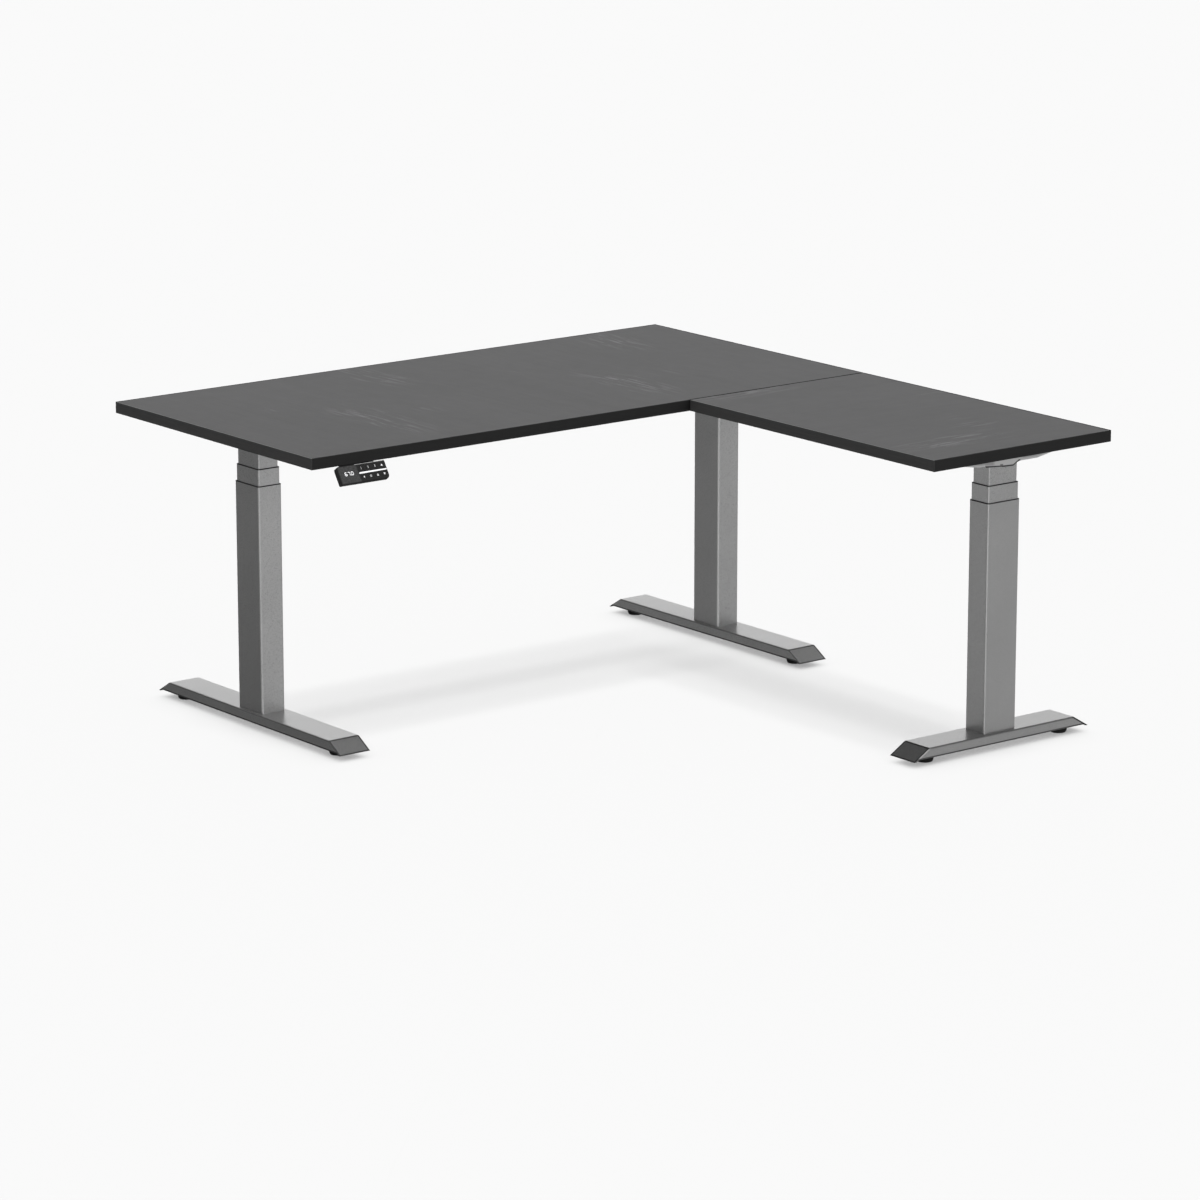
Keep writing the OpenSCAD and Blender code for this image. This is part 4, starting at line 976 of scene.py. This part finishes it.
def studio():
    """Soft room: dim ceiling, a bright wall low down behind the desk, lighter ground in front than behind."""
    world = bpy.data.worlds.new("studio")
    scene.world = world
    world.use_nodes = True
    t = world.node_tree
    bg = t.nodes["Background"]
    sep = t.nodes.new("ShaderNodeSeparateXYZ")
    t.links.new(t.nodes.new("ShaderNodeTexCoord").outputs["Generated"], sep.inputs[0])
    X, Y, Z = sep.outputs

    def rng(v, a, b, c, d):
        r = t.nodes.new("ShaderNodeMapRange")
        r.interpolation_type = "SMOOTHSTEP"
        t.links.new(v, r.inputs[0])
        for i, x in enumerate((a, b, c, d)):
            r.inputs[i + 1].default_value = x
        return r.outputs[0]

    def op(kind, a, b):
        m = t.nodes.new("ShaderNodeMath")
        m.operation = kind
        for i, v in enumerate((a, b)):
            if isinstance(v, (int, float)):
                m.inputs[i].default_value = v
            else:
                t.links.new(v, m.inputs[i])
        return m.outputs[0]

    above = rng(Z, -0.03, 0.05, 0.0, 1.0)
    below = rng(Z, -0.03, 0.05, 1.0, 0.0)
    low = rng(Z, WALL_Z[0], WALL_Z[1], 1.0, 0.0)
    wall = op("MULTIPLY", op("MULTIPLY", low, rng(Y, -0.3, 0.6, WALL[0], WALL[1])), rng(X, -0.75, 0.35, LEFT_DIM, 1.0))
    ceil = op("MULTIPLY", rng(X, -0.8, 0.6, CEILING[0], CEILING[1]), 1.0)
    ground = rng(Y, -0.7, 0.75, GROUND[0], GROUND[1])
    total = op("ADD", op("MULTIPLY", above, op("ADD", wall, ceil)), op("MULTIPLY", below, ground))
    # a tall soft panel in front at the left, which the rounded corners pick up
    toward = op("ADD", op("MULTIPLY", X, PANEL[0]), op("MULTIPLY", Y, PANEL[1]))
    total = op("ADD", total, op("MULTIPLY", rng(toward, PANEL[2], PANEL[3], 0.0, PANEL[4]), rng(Z, 0.25, 0.6, 1.0, 0.0)))
    t.links.new(total, bg.inputs["Strength"])
    bg.inputs["Color"].default_value = (1, 1, 1, 1)
    # past the paper's far edge there is a plain pale backdrop; only the pieces see the room
    back = t.nodes.new("ShaderNodeBackground")
    back.inputs["Color"].default_value = (0.955, 0.955, 0.955, 1)
    mx = t.nodes.new("ShaderNodeMixShader")
    t.links.new(t.nodes.new("ShaderNodeLightPath").outputs["Is Camera Ray"], mx.inputs[0])
    t.links.new(bg.outputs[0], mx.inputs[1])
    t.links.new(back.outputs[0], mx.inputs[2])
    t.links.new(mx.outputs[0], t.nodes["World Output"].inputs["Surface"])


CEILING = (0.14, 0.26)       # to the left and to the right
WALL = (0.25, 1.36)          # in front and behind
WALL_Z = (0.30, 0.50)
LEFT_DIM = 0.10
GROUND = (0.62, 0.15)        # in front and behind
PANEL = (-0.614, -0.789, 0.955, 0.995, 3.2)   # direction, inner and outer edge, brightness
studio()


def link_set(name, objs):
    c = bpy.data.collections.new(name)
    for o in objs:
        c.objects.link(o)
    return c


def sun(name, az, el, strength, angle, lit=None, shade=None):
    """A sun that shines from azimuth az (0 is from -Y, 90 from +X) and elevation el."""
    d = bpy.data.lights.new(name, "SUN")
    d.energy = strength
    d.angle = math.radians(angle)
    o = bpy.data.objects.new(name, d)
    a, e = math.radians(az), math.radians(el)
    frm = Vector((math.sin(a) * math.cos(e), -math.cos(a) * math.cos(e), math.sin(e)))
    o.rotation_mode = "QUATERNION"
    o.rotation_quaternion = frm.to_track_quat("Z", "Y")
    scene.collection.objects.link(o)
    if lit is not None:
        o.light_linking.receiver_collection = link_set(name + "_lit", lit)
    if shade is not None:
        o.light_linking.blocker_collection = link_set(name + "_shade", shade)
    return o


PIECES = [o for o in scene.objects if o.type == "MESH" and o is not the_floor]
LOW = [NODES[n] for n in NODES if n.endswith("_foot") or n.endswith("_leveller") or n.endswith("_outer_tube")]
RAILS = [NODES[n] for n in NODES if "_rail" in n]
# the paper's own light: a soft band under the rails; the contact shadows at the feet come from the paper's ambient
# occlusion
sun("paper", 90, 87.2, 16.54, 24, lit=[the_floor], shade=RAILS)
# the desk's lights
FEET = [NODES[n] for n in NODES if n.endswith("_foot")]
RETURN_LEG = [NODES["return" + part] for part in ("_foot", "_outer_tube", "_middle_tube", "_inner_tube")]
sun("overhead", 0, 80, 1.1, 46, lit=[o for o in PIECES if o not in FEET])
sun("front", 10, 9, 0.75, 20, lit=[o for o in PIECES if o not in RETURN_LEG])
sun("front_high", 5, 42, 0.9, 30, lit=[o for o in FEET if o not in RETURN_LEG])
sun("front_return", 10, 9, 0.15, 20, lit=RETURN_LEG)


def area(name, loc, aim, size, power, lit):
    d = bpy.data.lights.new(name, "AREA")
    d.shape = "RECTANGLE"
    d.size, d.size_y = size
    d.energy = power
    o = bpy.data.objects.new(name, d)
    o.location = loc
    o.rotation_mode = "QUATERNION"
    o.rotation_quaternion = (Vector(loc) - Vector(aim)).to_track_quat("Z", "Y")
    o.visible_camera = False
    scene.collection.objects.link(o)
    o.light_linking.receiver_collection = link_set(name + "_lit", lit)
    o.light_linking.blocker_collection = link_set(name + "_shade", PIECES)
    return o


INNER = [NODES[leg + part] for leg in ("corner", "return") for part in ("_outer_tube", "_middle_tube", "_inner_tube")]
area("inner", (-0.30, 0.16, 0.10), (0.64, -0.182, 0.10), (1.0, 1.6), 2.1, INNER)

cam = bpy.data.cameras.new("camera")
cam.sensor_width = 36.0
cam.lens = 147.868
cam.clip_end = 200.0
co = bpy.data.objects.new("camera", cam)
co.location = (-6.3757, -8.1711, 2.7960)
az, el = math.radians(-37.88682), math.radians(13.73477)
back = Vector((math.sin(az) * math.cos(el), -math.cos(az) * math.cos(el), math.sin(el)))
co.rotation_mode = "QUATERNION"
co.rotation_quaternion = (-back).to_track_quat("-Z", "Y")
scene.collection.objects.link(co)
scene.camera = co
